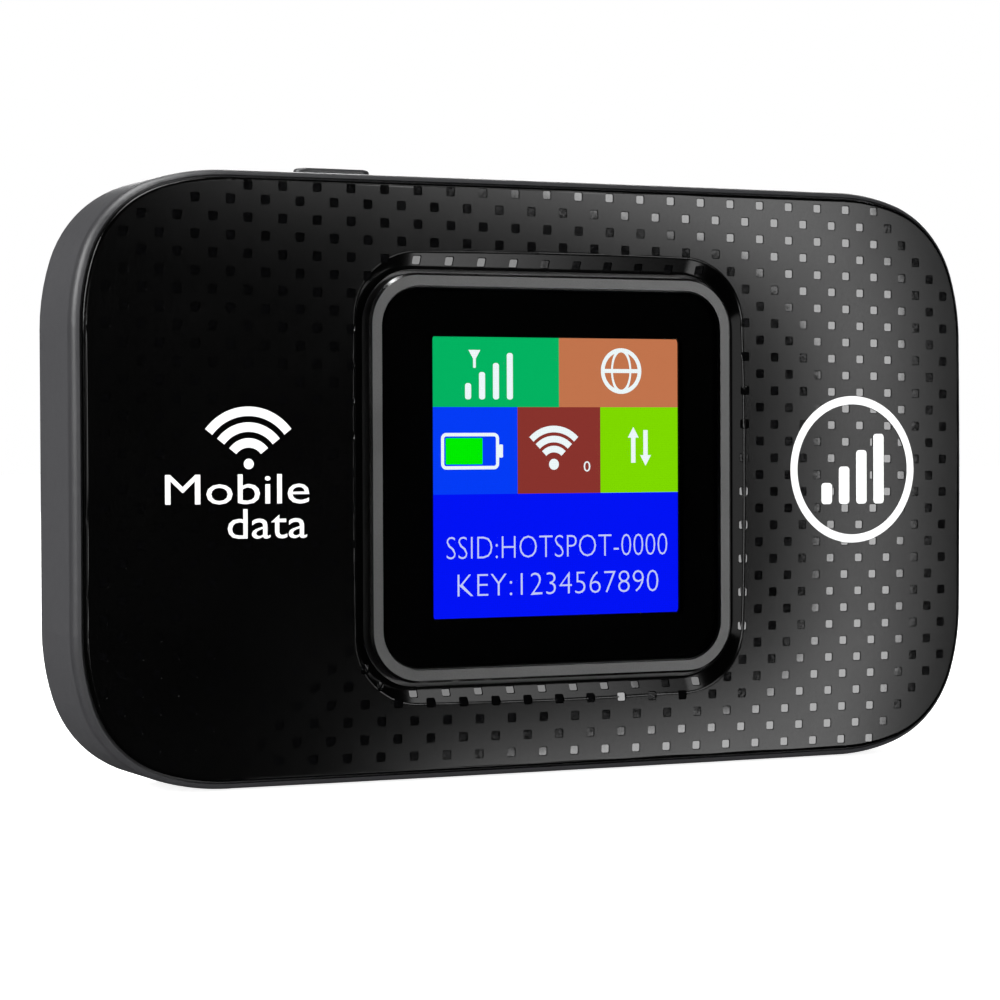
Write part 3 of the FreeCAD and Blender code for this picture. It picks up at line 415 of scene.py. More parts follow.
INK_PROUD = 0.03 * MM
BADGE = (34.8 * MM, 30.0 * MM)
BADGE_RADIUS = 7.65 * MM
BADGE_STROKE = 0.85 * MM
BADGE_BARS = (2.2 * MM, 3.9 * MM, 5.6 * MM, 7.3 * MM)
BADGE_BAR_WIDTH = 1.3 * MM
BADGE_BAR_CORNER = 0.35 * MM
BADGE_BAR_STEP = 2.15 * MM
BADGE_BAR_FOOT = 3.6 * MM                       # below the badge's middle
MARK = (-32.4 * MM, 31.0 * MM)
MARK_DOT = 0.5 * MM
MARK_ARCS = (2.45 * MM, 3.95 * MM, 5.45 * MM)
MARK_STROKE = 0.9 * MM
MARK_SPAN = (38, 142)                           # degrees from the right, over the top
MARK_WORDS = (                                  # word, middle across and up, and width
    ("Mobile", -33.6 * MM, 28.45 * MM, 14.4 * MM),
    ("data", -30.6 * MM, 25.15 * MM, 8.0 * MM),
)
MARK_WORD_SIZE = 4.1 * MM


def plate(x, z, width, height, radius, y):
    """A flat plate with round corners that faces the front."""
    bpy.ops.object.select_all(action="DESELECT")
    bpy.ops.mesh.primitive_plane_add(size=1, location=(x, y, z), rotation=(math.pi / 2, 0, 0))
    piece = bpy.context.object
    piece.scale = (width, height, 1)
    settle(piece)
    if radius:
        choose(piece, "VERT", lambda vertex: True)
        bpy.ops.mesh.bevel(offset=radius, segments=5, affect="VERTICES")
        close_edit()
    return piece


def joined(pieces, name):
    """Several flat shapes as one piece."""
    bpy.ops.object.select_all(action="DESELECT")
    for piece in pieces:
        piece.select_set(True)
    bpy.context.view_layer.objects.active = pieces[0]
    if len(pieces) > 1:
        bpy.ops.object.join()
    pieces[0].name = name
    pieces[0].data.name = name
    return pieces[0]


def outline(x, z, width, height, radius, stroke, y, shift=0):
    """A rounded outline, made of two plates' edges; shift moves its opening sideways."""
    inner_radius = max(radius - stroke, 0.1 * radius)
    pair = [plate(x, z, width, height, radius, y),
            plate(x + shift, z, width - 2 * stroke, height - 2 * stroke, inner_radius, y)]
    piece = joined(pair, "outline")
    choose(piece, "FACE", lambda face: True)
    bpy.ops.mesh.delete(type="ONLY_FACE")
    bpy.ops.mesh.select_mode(type="EDGE")
    bpy.ops.mesh.select_all(action="SELECT")
    bpy.ops.mesh.bridge_edge_loops()
    bpy.ops.mesh.normals_make_consistent(inside=False)
    close_edit()
    if piece.data.polygons[0].normal.y > 0:
        piece.data.flip_normals()
    return piece


def round_stroke(x, z, radius, stroke, y, span=None, sides=96):
    """A ring, or its arc over a span of degrees from the right; with no stroke, a disc."""
    bpy.ops.object.select_all(action="DESELECT")
    bpy.ops.mesh.primitive_circle_add(vertices=sides, radius=radius, fill_type="NGON",
                                      location=(x, y, z), rotation=(math.pi / 2, 0, 0))
    piece = bpy.context.object
    settle(piece)

    def outside_span(face):
        angle = math.degrees(math.atan2(face.center.z - z, face.center.x - x))
        return not span[0] < angle < span[1]

    if stroke:
        choose(piece, "FACE", lambda face: True)
        bpy.ops.mesh.inset(thickness=stroke)
        bpy.ops.mesh.delete(type="FACE")
        close_edit()
    if span:
        choose(piece, "FACE", outside_span)
        bpy.ops.mesh.delete(type="FACE")
        close_edit()
    return piece


def lettering(text, x, z, size, width, weight, y):
    """A line of plain lettering as flat mesh, set to a width; a weight below 0 thins its strokes."""
    bpy.ops.object.select_all(action="DESELECT")
    bpy.ops.object.text_add(location=(x, y, z), rotation=(math.pi / 2, 0, 0))
    line = bpy.context.object
    line.data.body = text
    line.data.size = size
    line.data.align_x = "CENTER"
    line.data.align_y = "CENTER"
    line.data.resolution_u = 3
    line.data.offset = weight * size
    bpy.context.view_layer.update()
    line.scale = (width / line.dimensions.x, 1, 1)
    bpy.ops.object.convert(target="MESH")
    line = bpy.context.object
    settle(line)
    return line


def printed(pieces, name):
    """Joins flat shapes into one film of ink on the crowned faceplate."""
    film = joined(pieces, name)
    choose(film, "FACE", lambda face: True)
    bpy.ops.mesh.quads_convert_to_tris()
    close_edit()
    for vertex in film.data.vertices:
        vertex.co.y = crown(vertex.co.x, vertex.co.z) - INK_PROUD
    film.data.materials.clear()
    film.data.materials.append(white_ink)
    attach(film, "case", "panel_gloss")
    return film


# Pad-printed white ink: a matt film with faint thin spots where the pad lifted.
white_ink = grained("pad_printed_white_ink", "#e4e4e4", "#f6f6f6", gloss=(0.45, 0.6),
                    grain=0.15 * MM, relief=0.001 * MM, drift=2 * MM, IOR=1.5)

badge = [round_stroke(*BADGE, BADGE_RADIUS, BADGE_STROKE, 0)]
for index, height in enumerate(BADGE_BARS):
    bar_x = BADGE[0] + (index - 1.5) * BADGE_BAR_STEP
    bar_z = BADGE[1] - BADGE_BAR_FOOT + height / 2
    badge.append(plate(bar_x, bar_z, BADGE_BAR_WIDTH, height, BADGE_BAR_CORNER, 0))
printed(badge, "printed_level_badge")

mark = [round_stroke(*MARK, MARK_DOT, 0, 0, sides=32)]
for radius in MARK_ARCS:
    mark.append(round_stroke(*MARK, radius, MARK_STROKE, 0, MARK_SPAN))
for word, word_x, word_z, width in MARK_WORDS:
    mark.append(lettering(word, word_x, word_z, MARK_WORD_SIZE, width, 0, 0))
printed(mark, "printed_broadcast_mark")

# ---- trim ring ----
# A frame of aluminium round the window, bead-blasted and anodised grey, with a lip cut bright by a
# diamond tool afterwards.  Its rear flange is clamped behind the faceplate.

RING_LIP = 0.35 * MM            # how far back from the front the cut lip reaches
LIP_FACING = (0.5, 0.9)         # |y| of the cut's normal, which slopes between front and side

# Anodised aluminium: a soft grey band with a fine blasted grain.
anodised = grained("grey_anodised_aluminium", "#4f4f4f", "#5b5b5b", gloss=(0.34, 0.42),
                   grain=0.12 * MM, relief=0.002 * MM, Metallic=1.0)

# Diamond-cut aluminium: the bare bright line along the lip.
bright_cut = grained("diamond_cut_aluminium", "#8c8c8c", "#a0a0a0", gloss=(0.16, 0.24),
                     grain=0.2 * MM, relief=0.0002 * MM, Metallic=1.0)

trim_ring = fresh_copy("display_ring", "trim_ring")
trim_ring.data.materials.append(anodised)
trim_ring.data.materials.append(bright_cut)
for face in trim_ring.data.polygons:
    on_lip = face.center.y < front_y + RING_LIP
    sloping = LIP_FACING[0] < abs(face.normal.y) < LIP_FACING[1]
    face.material_index = 1 if on_lip and sloping else 0
smooth(trim_ring)
attach(trim_ring, "case", "ring_metal", "display_ring")

# ---- window ----
# Cover glass, cut and polished, with a black border printed on its back.  It is glued to the
# ring's ledge over a foam gasket.

BORDER_INSET = 0.3 * MM         # how much narrower the print is than the glass
BORDER_CORNER = 3.7 * MM
BORDER_OPENING = 27.9 * MM
BORDER_SHIFT = 0.9 * MM         # the lit area sits off the middle, over the cell's wider ledge
BORDER_GAP = 0.02 * MM          # keeps the print just clear of the glass

window_low, window_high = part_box("display_window")
border_size = window_high.x - window_low.x - BORDER_INSET

# Polished cover glass: clear, with the faint green of soda-lime glass.
cover_glass, tree, place, shader = blank_material("polished_cover_glass")
ripple = add(tree, "ShaderNodeTexNoise", {"Vector": place, "Scale": 1 / (8 * MM), "Detail": 1.0})
wave = add(tree, "ShaderNodeBump", {"Height": ripple.outputs[0], "Distance": 0.0002 * MM})
feed(tree, shader, {"Base Color": linear("#fbfffd"), "Roughness": 0.0, "IOR": 1.45,
                    "Transmission Weight": 1.0, "Normal": wave.outputs[0]})
finish(cover_glass, "display_window")

# Screen-printed black ink, seen through the glass: it hides everything but the picture.
border_ink = grained("screen_printed_black_ink", "#010101", "#020202", gloss=(0.6, 0.7),
                     grain=0.2 * MM, relief=0.0004 * MM, IOR=1.45, **{"Specular IOR Level": 0.03})
border = outline(0, middle_z, border_size, border_size, BORDER_CORNER,
                 (border_size - BORDER_OPENING) / 2, window_high.y - BORDER_GAP, BORDER_SHIFT)
border.name = "window_border"
border.data.materials.append(border_ink)
attach(border, "case", "window_clear")

# Black polyurethane foam: open pores that swallow light.
black_foam = grained("black_polyurethane_foam", "#0c0c0c", "#1b1b1b", gloss=(0.85, 0.95),
                     grain=0.25 * MM, relief=0.04 * MM, drift=1.5 * MM, IOR=1.4)
finish(black_foam, "window_gasket", "display_pad", "panel_tape")

# ---- display ----
# The liquid-crystal cell with its lit picture: coloured tiles with plain status icons and two
# lines of plain lettering.  The cell lies in front of a white moulded light guide, and its amber
# ribbon folds back to a socket on the board.

PICTURE_GAP = 0.004 * MM        # the tiles stand this far in front of the cell
ICON_GAP = 0.012 * MM           # and the icons this far
DOT_PITCH = 0.23 * MM           # two dots of a real display, the finest grid that shows
BRIGHTNESS = 1.06               # makes up for what the cover glass reflects

cell_low, cell_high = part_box("lcd_glass")
tile_y = cell_low.y - PICTURE_GAP
icon_y = cell_low.y - ICON_GAP

# Dark cell glass: black where nothing is lit, with the grey of its polariser.
cell_glass = grained("black_polariser_film", "#020203", "#050506", gloss=(0.12, 0.18),
                     grain=0.5 * MM, relief=0.0003 * MM, IOR=1.5)
finish(cell_glass, "lcd_glass")


def lit(name, colour):
    """A lit area of the display: even colour, with the faint dark grid between its dots."""
    material, tree, place, shader = blank_material(name)
    upright = {"Vector": place, "Rotation": (math.pi / 2, 0, 0)}
    turned = add(tree, "ShaderNodeMapping", upright).outputs[0]
    dots = {"Vector": turned, "Color1": (1, 1, 1, 1), "Color2": (0.98, 0.98, 0.98, 1),
            "Mortar": (0.9, 0.9, 0.9, 1), "Scale": 1.0, "Mortar Size": 0.06 * DOT_PITCH,
            "Brick Width": DOT_PITCH, "Row Height": DOT_PITCH}
    grid = add(tree, "ShaderNodeTexBrick", dots, offset=0.0).outputs[0]
    shades = {0: 1.0, 6: grid, 7: linear(colour)}
    glow = add(tree, "ShaderNodeMix", shades, data_type="RGBA", blend_type="MULTIPLY")
    feed(tree, shader, {"Base Color": (0, 0, 0, 1), "Roughness": 0.5, "Specular IOR Level": 0.0,
                        "Emission Color": glow.outputs[2], "Emission Strength": BRIGHTNESS})
    return material


def coloured(piece, material):
    """Gives one flat shape its material."""
    piece.data.materials.clear()
    piece.data.materials.append(material)
    return piece


# The tiles' and icons' places and sizes are in millimetres from the middle of the tiles.
TILE_LINES = (13.85, 6.95, -1.65, -13.85)       # above and below the rows of tiles
TILES = (                                       # left, right, row, name and colour
    (-13.85, 0.0, 0, "lit_green", "#03b563"),
    (0.0, 13.85, 0, "lit_orange", "#c7764f"),
    (-13.85, -4.62, 1, "lit_blue", "#043dfc"),
    (-4.62, 4.62, 1, "lit_brick", "#8c342e"),
    (4.62, 13.85, 1, "lit_lime", "#83dc00"),
    (-13.85, 13.85, 2, "lit_deep_blue", "#0213fb"),
)

white_light = lit("lit_white", "#f4fbff")
text_light = lit("lit_pale_blue", "#c9cffb")
lights = [lit(name, colour) for left, right, row_index, name, colour in TILES]
shapes = []
for (left, right, row_index, name, colour), light in zip(TILES, lights):
    top = TILE_LINES[row_index]
    bottom = TILE_LINES[row_index + 1]
    tile = plate((left + right) / 2 * MM, middle_z + (top + bottom) / 2 * MM,
                 (right - left) * MM, (top - bottom) * MM, 0, tile_y)
    shapes.append(coloured(tile, light))


def stripe(x, z, width, height, corner=0):
    """One straight stroke of an icon."""
    return plate(x * MM, middle_z + z * MM, width * MM, height * MM, corner * MM, icon_y)


def curve(x, z, radius, stroke, span=None, sides=96):
    """One ring, arc or disc of an icon."""
    return round_stroke(x * MM, middle_z + z * MM, radius * MM, stroke * MM, icon_y, span, sides)


def triangle(x, z, radius, turn):
    """One small triangle of an icon, which points up or, turned by half a turn, down."""
    bpy.ops.object.select_all(action="DESELECT")
    bpy.ops.mesh.primitive_circle_add(vertices=3, radius=radius * MM, fill_type="NGON",
                                      location=(x * MM, icon_y, middle_z + z * MM),
                                      rotation=(math.pi / 2, turn, 0))
    settle(bpy.context.object)
    return bpy.context.object


# Signal: four bars and a small aerial.
SIGNAL_BARS = (1.6, 2.7, 3.6, 4.6)              # heights
SIGNAL_FOOT = (-10.0, 7.7)                      # the first bar's foot
SIGNAL_STEP = 1.52
SIGNAL_BAR = (0.66, 0.25)                       # a bar's width and corner
AERIAL = (-9.3, 12.2, 0.75)                     # its head's middle and radius
AERIAL_MAST = (-9.3, 11.55, 0.3, 1.5, 0.1)

icons = []
for index, height in enumerate(SIGNAL_BARS):
    foot_x = SIGNAL_FOOT[0] + SIGNAL_STEP * index
    icons.append(stripe(foot_x, SIGNAL_FOOT[1] + height / 2, SIGNAL_BAR[0], height, SIGNAL_BAR[1]))
icons.append(triangle(*AERIAL, math.pi))
icons.append(stripe(*AERIAL_MAST))

# Network: a globe of a rim, a meridian and an equator.
GLOBE = (7.0, 10.6)
GLOBE_RADIUS = 2.3
GLOBE_STROKE = 0.42
EQUATOR = (4.2, 0.4)

icons.append(curve(*GLOBE, GLOBE_RADIUS, GLOBE_STROKE, sides=64))
meridian = curve(0, GLOBE[1], GLOBE_RADIUS, GLOBE_STROKE, sides=64)
meridian.scale = (0.5, 1, 1)
settle(meridian)
meridian.data.transform(Matrix.Translation((GLOBE[0] * MM, 0, 0)))
icons.append(meridian)
icons.append(stripe(*GLOBE, *EQUATOR))

# Battery: a rounded case with a small pole at its right.
CELL_CASE = (-9.8, 2.6, 6.3, 3.6)               # middle, width and height
CELL_CORNER = 0.55
CELL_STROKE = 0.34
CELL_POLE = (-6.45, 2.6, 0.45, 1.3, 0.12)
CELL_CHARGE = (-10.45, 2.6, 4.0, 2.6, 0.1)      # the green bar in it

case_x, case_z, case_width, case_height = CELL_CASE
icons.append(outline(case_x * MM, middle_z + case_z * MM, case_width * MM, case_height * MM,
                     CELL_CORNER * MM, CELL_STROKE * MM, icon_y))
icons.append(stripe(*CELL_POLE))

# Wireless: a dot under three arcs.
FAN = (-0.6, 1.25)
FAN_DOT = 0.55
FAN_ARCS = (1.85, 2.85, 3.85)
FAN_STROKE = 0.66
FAN_SPAN = (44, 136)                            # degrees from the right, over the top

icons.append(curve(*FAN, FAN_DOT, 0, sides=32))
for radius in FAN_ARCS:
    icons.append(curve(*FAN, radius, FAN_STROKE, FAN_SPAN))

# Traffic: an arrow up and an arrow down.
ARROWS = ((8.35, 1), (9.75, -1))                # middle, and 1 for up or -1 for down
ARROW_Z = 3.0
ARROW_SHAFT = (0.5, 2.7)
ARROW_SHAFT_SHIFT = 0.3                         # away from the head
ARROW_HEAD_SHIFT = 1.25
ARROW_HEAD = 0.72

for arrow_x, way in ARROWS:
    icons.append(stripe(arrow_x, ARROW_Z - ARROW_SHAFT_SHIFT * way, *ARROW_SHAFT))
    turn = 0 if way > 0 else math.pi
    icons.append(triangle(arrow_x, ARROW_Z + ARROW_HEAD_SHIFT * way, ARROW_HEAD, turn))

# Lettering: how many devices are joined, and the two lines under the tiles.
JOINED = ("0", 3.1, 0.95, 1.5, 0.75, 0)         # text, middle, size, width and weight
LINES = (
    ("SSID:HOTSPOT-0000", -0.1, -7.05, 3.3, 24.6, -0.018),
    ("KEY:1234567890", -0.1, -10.75, 3.3, 22.4, -0.018),
)


def wording(text, x, z, size, width, weight):
    """One line of the display's lettering."""
    return lettering(text, x * MM, middle_z + z * MM, size * MM, width * MM, weight, icon_y)


icons.append(wording(*JOINED))
shapes += [coloured(icon, white_light) for icon in icons]
shapes.append(coloured(stripe(*CELL_CHARGE), lit("lit_charge_green", "#00f000")))
shapes += [coloured(wording(*line), text_light) for line in LINES]
picture = joined(shapes, "display_picture")
picture.data.transform(Matrix.Translation((BORDER_SHIFT, 0, 0)))
attach(picture, "case", "picture")

# White moulded light guide: translucent polycarbonate that scatters the lamp's light.
light_guide = grained("white_light_guide", "#dfe3e6", "#f1f3f5", gloss=(0.3, 0.4),
                      grain=0.3 * MM, relief=0.002 * MM,
                      **{"Subsurface Weight": 0.3, "Subsurface Scale": 0.5 * MM})
finish(light_guide, "lcd_backlight")

# Amber polyimide film over copper: glossy, with the grain of rolled foil.
amber_film = grained("amber_polyimide_film", "#8a4a12", "#b06a22", gloss=(0.22, 0.34),
                     grain=0.3 * MM, relief=0.004 * MM, stretch=(1, 1, 6), IOR=1.65)
finish(amber_film, "lcd_ribbon", "main_antenna", "wireless_antenna")

# Natural liquid-crystal polymer: ivory connector plastic with faint flow lines.
ivory_polymer = grained("ivory_connector_polymer", "#cfc7ad", "#e2dbc4", gloss=(0.42, 0.52),
                        grain=0.18 * MM, relief=0.004 * MM, stretch=(4, 1, 1), IOR=1.55)
finish(ivory_polymer, "lcd_connector", "power_plunger", "reset_button")

# ---- main board ----
# A glass-epoxy board under green solder mask, with moulded chips and tinned shielding cans
# soldered to it, and the switches and sockets along its edges.

TRACE_PITCH = 1.6 * MM
TRACE_RELIEF = 0.02 * MM

# Solder mask: glossy green that darkens over bare laminate and lightens over the copper tracks.
solder_mask, tree, place, shader = blank_material("green_solder_mask")
upright = {"Vector": place, "Rotation": (math.pi / 2, 0, 0)}
turned = add(tree, "ShaderNodeMapping", upright).outputs[0]
blocks = {"Vector": turned, "Scale": 1 / TRACE_PITCH, "Randomness": 0.35}
cells = add(tree, "ShaderNodeTexVoronoi", blocks, distance="CHEBYCHEV", feature="F1")
track_edge = {"Value": cells.outputs["Distance"], "From Min": 0.42, "From Max": 0.46}
copper = add(tree, "ShaderNodeMapRange", track_edge).outputs[0]
shades = {0: copper, 6: linear("#0d5230"), 7: linear("#17744a")}
mask = add(tree, "ShaderNodeMix", shades, data_type="RGBA")
ridge = add(tree, "ShaderNodeBump", {"Height": copper, "Distance": TRACE_RELIEF})
feed(tree, shader, {"Base Color": mask.outputs[2], "Roughness": 0.25, "IOR": 1.55,
                    "Normal": ridge.outputs[0]})
finish(solder_mask, "main_board")

# Epoxy chip packages: dull grey-black with a fine eroded grain.
chip_epoxy = grained("black_epoxy_package", "#141414", "#1e1e1f", gloss=(0.55, 0.68),
                     grain=0.1 * MM, relief=0.006 * MM, IOR=1.55)
finish(chip_epoxy, "board_chips")

# Tinned steel sheet: bright, with the faint lines of rolling.
tinned_steel = grained("tinned_steel_sheet", "#a9a9a6", "#bdbdb9", gloss=(0.24, 0.36),
                       grain=0.12 * MM, relief=0.002 * MM, stretch=(1, 1, 12), Metallic=1.0)
finish(tinned_steel, "shield_can_modem", "shield_can_wireless", "usb_shell", "sim_socket_shell")

# Glass-filled polymer: black connector bodies, slightly streaked by the fibres.
black_polymer = grained("black_glass_filled_polymer", "#101011", "#1b1b1c", gloss=(0.45, 0.6),
                        grain=0.14 * MM, relief=0.006 * MM, stretch=(3, 1, 1), IOR=1.6)
finish(black_polymer, "usb_tongue", "power_switch", "reset_switch", "sim_socket_base",
       "battery_contact_block")

# Hard gold over nickel: the springs and pads that touch the battery, the antennas and the card.
hard_gold = grained("hard_gold_plate", "#d9a441", "#e8bb62", gloss=(0.2, 0.3),
                    grain=0.1 * MM, relief=0.001 * MM, stretch=(6, 1, 1), Metallic=1.0)
finish(hard_gold, "battery_contacts", "battery_terminals", "antenna_clips")

# Gold contacts inlaid in both faces of the connector's tongue.
CONTACTS_A_SIDE = 12
CONTACT_PITCH = 0.5 * MM
CONTACT_SIZE = (3.4 * MM, 0.27 * MM)
CONTACT_CORNER = 0.08 * MM
CONTACT_PROUD = 0.01 * MM
CONTACT_SETBACK = 0.4 * MM      # from the tongue's end

tongue_low, tongue_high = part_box("usb_tongue")
strip_x = tongue_high.x - CONTACT_SETBACK - CONTACT_SIZE[0] / 2
tongue_z = (tongue_low.z + tongue_high.z) / 2
tongue_faces = (
    (tongue_low.y - CONTACT_PROUD, False),
    (tongue_high.y + CONTACT_PROUD, True),
)
strips = []
for face_y, behind in tongue_faces:
    for index in range(CONTACTS_A_SIDE):
        strip_z = tongue_z + (index - (CONTACTS_A_SIDE - 1) / 2) * CONTACT_PITCH
        strip = plate(strip_x, strip_z, *CONTACT_SIZE, CONTACT_CORNER, face_y)
        if behind:
            strip.data.flip_normals()
        strips.append(coloured(strip, hard_gold))
attach(joined(strips, "usb_contacts"), "case", "gold_plate")

# ---- rear housing ----
# The inner rear housing: black ABS from a spark-eroded tool, closed over the board by four
# zinc-plated cross-head screws.  It forms the battery bay and the card pocket.

# Spark-textured ABS: a fine orange-peel grain that breaks up the highlight.
spark_abs = grained("spark_textured_black_abs", "#101011", "#1a1a1b", gloss=(0.48, 0.62),
                    grain=0.22 * MM, relief=0.012 * MM, IOR=1.53)
finish(spark_abs, "rear_housing")

# Zinc-plated screw steel: a bluish grey with turning marks.
zinc_steel = grained("zinc_plated_steel", "#8d9096", "#a7aab0", gloss=(0.25, 0.4),
                     grain=0.1 * MM, relief=0.003 * MM, Metallic=1.0)
finish(zinc_steel, "housing_screws")

# ---- keys and card ----
# The power key, moulded in the case colour, comes up through the top wall from inside.  The
# card is punched from laminated sheet and slides up into its socket from the card pocket.

# Satin-coated key: the same coat as the case, a little more polished by fingers.
satin_key = grained("satin_coated_key", "#333335", "#3c3c3e", gloss=(0.3, 0.4),
                    grain=0.16 * MM, relief=0.0012 * MM, IOR=1.5)
finish(satin_key, "power_button")

# Card stock: white laminated PVC with a barely visible weave from its press plates.
card_pvc = grained("white_laminated_pvc", "#dcdcda", "#efefed", gloss=(0.3, 0.42),
                   grain=0.1 * MM, relief=0.001 * MM, IOR=1.53)
finish(card_pvc, "sim_card")

# ---- battery ----
# A flat lithium pouch in a moulded frame, under dark shrink film, with a printed paper label
# glued to its back.  It drops into the bay against the sprung contacts.

# Shrink film over the pouch: dark grey, with long soft wrinkles.
shrink_film = grained("dark_shrink_film", "#1d1e20", "#2b2c2f", gloss=(0.28, 0.4),
                      grain=1.6 * MM, relief=0.03 * MM, stretch=(3, 1, 1), IOR=1.5)
finish(shrink_film, "battery")

# Label paper: coated white stock with a trace of fibre.
label_paper = grained("coated_label_paper", "#c8c8c4", "#dcdcd9", gloss=(0.5, 0.65),
                      grain=0.12 * MM, relief=0.004 * MM, IOR=1.45)
finish(label_paper, "battery_label")

# Black print on the label: the cell's type and ratings in plain lettering, rules, and bars that
# stand for lines of small print.  Millimetres from the middle of the label.
LABEL_PROUD = 0.008 * MM
LABEL_LINES = (                                 # text, height of its middle, size and width
    ("Li-ion Battery", 8, 6, 34),
    ("3.7 V  2100 mAh  7.77 Wh", 1.2, 4, 38),
)
LABEL_RULES = (-3, 12.8)
LABEL_RULE = (40, 0.3)                          # length and thickness
LABEL_BARS = (38, 31, 35)                       # lengths
LABEL_BAR_TOP = -5.6
LABEL_BAR_STEP = 2.6
LABEL_BAR_HEIGHT = 0.7

label_ink = grained("printed_black_label_ink", "#141414", "#202020", gloss=(0.5, 0.6),
                    grain=0.15 * MM, relief=0.0008 * MM, drift=2 * MM, IOR=1.45)
label_low, label_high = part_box("battery_label")
label_x = (label_low.x + label_high.x) / 2
label_z = (label_low.z + label_high.z) / 2
prints = []
for text, height, size, width in LABEL_LINES:
    prints.append(lettering(text, 0, height * MM, size * MM, width * MM, 0, 0))
for height in LABEL_RULES:
    prints.append(plate(0, height * MM, LABEL_RULE[0] * MM, LABEL_RULE[1] * MM, 0, 0))
for index, width in enumerate(LABEL_BARS):
    bar_x = (width - max(LABEL_BARS)) / 2 * MM
    bar_z = (LABEL_BAR_TOP - LABEL_BAR_STEP * index) * MM
    prints.append(plate(bar_x, bar_z, width * MM, LABEL_BAR_HEIGHT * MM, 0, 0))
label_print = joined([coloured(shape, label_ink) for shape in prints], "battery_label_print")
label_place = Matrix.Translation((label_x, label_high.y + LABEL_PROUD, label_z))
label_print.data.transform(label_place @ Matrix.Rotation(math.pi, 4, "Z"))
attach(label_print, "battery_pack", "label_paper")

# ---- rear cover ----
# The pull-off rear cover: ABS moulded with full side walls and low snap ribs inside them, with
# the same satin coat as the frame.  It slides over the rear housing and butts against the frame.

# Satin coat on the cover: mid grey with a silky glow, and a very fine pebble in it.
satin_cover = grained("satin_coated_cover", "#373739", "#39393b", gloss=(0.42, 0.47),
                      grain=0.16 * MM, relief=0.003 * MM, drift=1.2 * MM, IOR=1.5)
finish(satin_cover, "rear_cover")

# ---- studio ----
# A pale painted floor in a white surround, lit by soft square lamps from behind and above.  One
# large shaped card in front to the right and four small ones are what the glossy front mirrors.

CAMERA_PLACE = (-132.8 * MM, -274.4 * MM, 32.85 * MM)
CAMERA_YAW = math.radians(25.36)
CAMERA_PITCH = math.radians(1.08)
CAMERA_ROLL = math.radians(-0.23)
CAMERA_LENS = 108               # millimetres
CAMERA_SENSOR = 36
CAMERA_NEAR = 0.01
CARD_BEARING = math.radians(35)                 # from straight in front, to the right
CARD_DISTANCE = 1.0
CARD_GLOW = 9.8
CARD_OUTLINE = (                # millimetres across and up on the card, seen from the object
    (-370, 224), (-240, 195), (-157, 168), (-79, 143), (-38, 128), (-13, 105), (3, 78),
    (10, 50), (10, -75), (2, -118), (-19, -145), (-40, -158), (-119, -177), (-170, -190),
    (-225, -204), (-225, -270), (40, -235), (48, -172), (60, -110), (60, 100), (46, 148),
    (30, 245), (-240, 300), (-370, 325),
)
LAMPS = (                       # name, place and watts
    ("left_lamp", (-0.9, 0.25, 0.4), 8.5),
    ("top_lamp", (-0.2, 0.2, 0.9), 8),
    ("back_lamp", (0.5, 0.9, 0.4), 7),
)
LAMP_SIZE = 0.6
SMALL_CARDS = (                 # name, bearing and height in degrees, size and watts
    ("low_card", 28.6, -40.5, 0.16, 0.5),
    ("high_card", 29.5, 39.3, 0.2, 0.65),
    ("rim_card", -8.0, 0.0, 0.25, 1.6),
    ("near_card", -45.0, 0.0, 0.3, 0.5),
)
FLOOR_SIZE = 6
FLOOR_DROP = 0.05 * MM          # below the object
FLOOR_GLOW = 0.8
SURROUND_IN_GLOSS = 0.003       # the surround's strength in reflections
SURROUND_ON_MATT = 0.3          # and on matt surfaces

camera = bpy.data.objects.new("camera", bpy.data.cameras.new("camera"))
bpy.context.scene.collection.objects.link(camera)
camera.data.lens = CAMERA_LENS
camera.data.sensor_width = CAMERA_SENSOR
camera.data.clip_start = CAMERA_NEAR
roll = Matrix.Rotation(CAMERA_ROLL, 3, "Y")
pitch = Matrix.Rotation(CAMERA_PITCH, 3, "X")
yaw = Matrix.Rotation(CAMERA_YAW, 3, "Z")
level_axes = Matrix.Rotation(math.pi / 2, 3, "X")
camera_axes = (roll @ pitch @ yaw).transposed() @ level_axes
camera.matrix_world = Matrix.Translation(CAMERA_PLACE) @ camera_axes.to_4x4()
bpy.context.scene.camera = camera
bpy.context.scene.view_settings.view_transform = "Standard"


def glowing(name, colour, strength):
    """A plain glowing material for the studio."""
    material = bpy.data.materials.new(name)
    material.use_nodes = True
    tree = material.node_tree
    tree.nodes.clear()
    glow = add(tree, "ShaderNodeEmission", {"Color": linear(colour), "Strength": strength})
    add(tree, "ShaderNodeOutputMaterial", {"Surface": glow.outputs[0]})
    return material


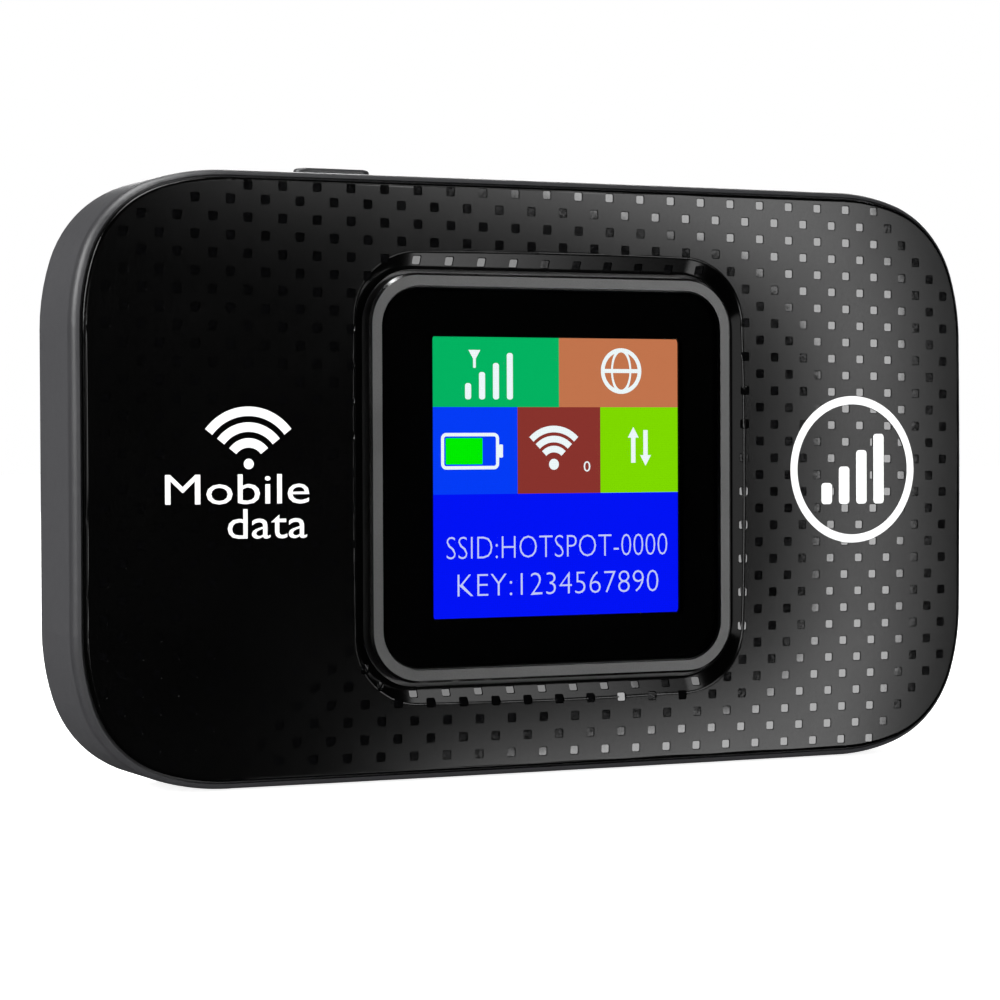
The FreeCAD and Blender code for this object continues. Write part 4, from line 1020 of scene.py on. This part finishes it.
toward_card = Vector((math.sin(CARD_BEARING), -math.cos(CARD_BEARING), 0))
card_across = Vector((math.cos(CARD_BEARING), math.sin(CARD_BEARING), 0))
card_middle = Vector((0, front_y, middle_z)) + CARD_DISTANCE * toward_card
card_mesh = bpy.data.meshes.new("light_card")
card_points = []
for across, up in CARD_OUTLINE:
    card_points.append(card_middle + across * MM * card_across + Vector((0, 0, up * MM)))
card_mesh.from_pydata(card_points, [], [list(range(len(card_points)))])
card_mesh.materials.append(glowing("card_light", "#ffffff", CARD_GLOW))
card = bpy.data.objects.new("light_card", card_mesh)
bpy.context.scene.collection.objects.link(card)
card.visible_camera = False


def lamp(name, place, target, size, watts):
    """A square soft lamp that faces a target."""
    light = bpy.data.lights.new(name, "AREA")
    light.size = size
    light.energy = watts
    stand = bpy.data.objects.new(name, light)
    bpy.context.scene.collection.objects.link(stand)
    stand.location = place
    stand.rotation_euler = (Vector(target) - Vector(place)).to_track_quat("-Z", "Y").to_euler()
    stand.visible_camera = False
    return stand


centre = (0, 0, middle_z)
for name, lamp_place, watts in LAMPS:
    lamp(name, lamp_place, centre, LAMP_SIZE, watts)
for name, bearing, height, size, watts in SMALL_CARDS:
    bearing = math.radians(bearing)
    height = math.radians(height)
    level = math.cos(height)
    reach = (math.sin(bearing) * level, -math.cos(bearing) * level, math.sin(height))
    lamp(name, Vector(centre) + Vector(reach), centre, size, watts)

bpy.ops.object.select_all(action="DESELECT")
bpy.ops.mesh.primitive_plane_add(size=FLOOR_SIZE, location=(0, 0, cad_box[0].z - FLOOR_DROP))
floor = bpy.context.object
floor.name = "floor"
floor_paint, tree, place, shader = blank_material("pale_floor_paint")
feed(tree, shader, {"Base Color": linear("#e6e6e6"), "Roughness": 0.9,
                    "Emission Color": linear("#ffffff"), "Emission Strength": FLOOR_GLOW})
floor.data.materials.append(floor_paint)
floor.visible_glossy = False
floor.visible_transmission = False
floor.visible_shadow = False

world = bpy.data.worlds.new("surround")
bpy.context.scene.world = world
world.use_nodes = True
tree = world.node_tree
tree.nodes.clear()
rays = add(tree, "ShaderNodeLightPath", {})
fill = add(tree, "ShaderNodeMapRange", {"Value": rays.outputs["Is Diffuse Ray"],
                                        "To Min": SURROUND_IN_GLOSS, "To Max": SURROUND_ON_MATT})
shares = {0: rays.outputs["Is Camera Ray"], 1: fill.outputs[0]}
strength = add(tree, "ShaderNodeMath", shares, operation="MAXIMUM").outputs[0]
backdrop = add(tree, "ShaderNodeBackground", {"Color": linear("#ffffff"), "Strength": strength})
add(tree, "ShaderNodeOutputWorld", {"Surface": backdrop.outputs[0]})
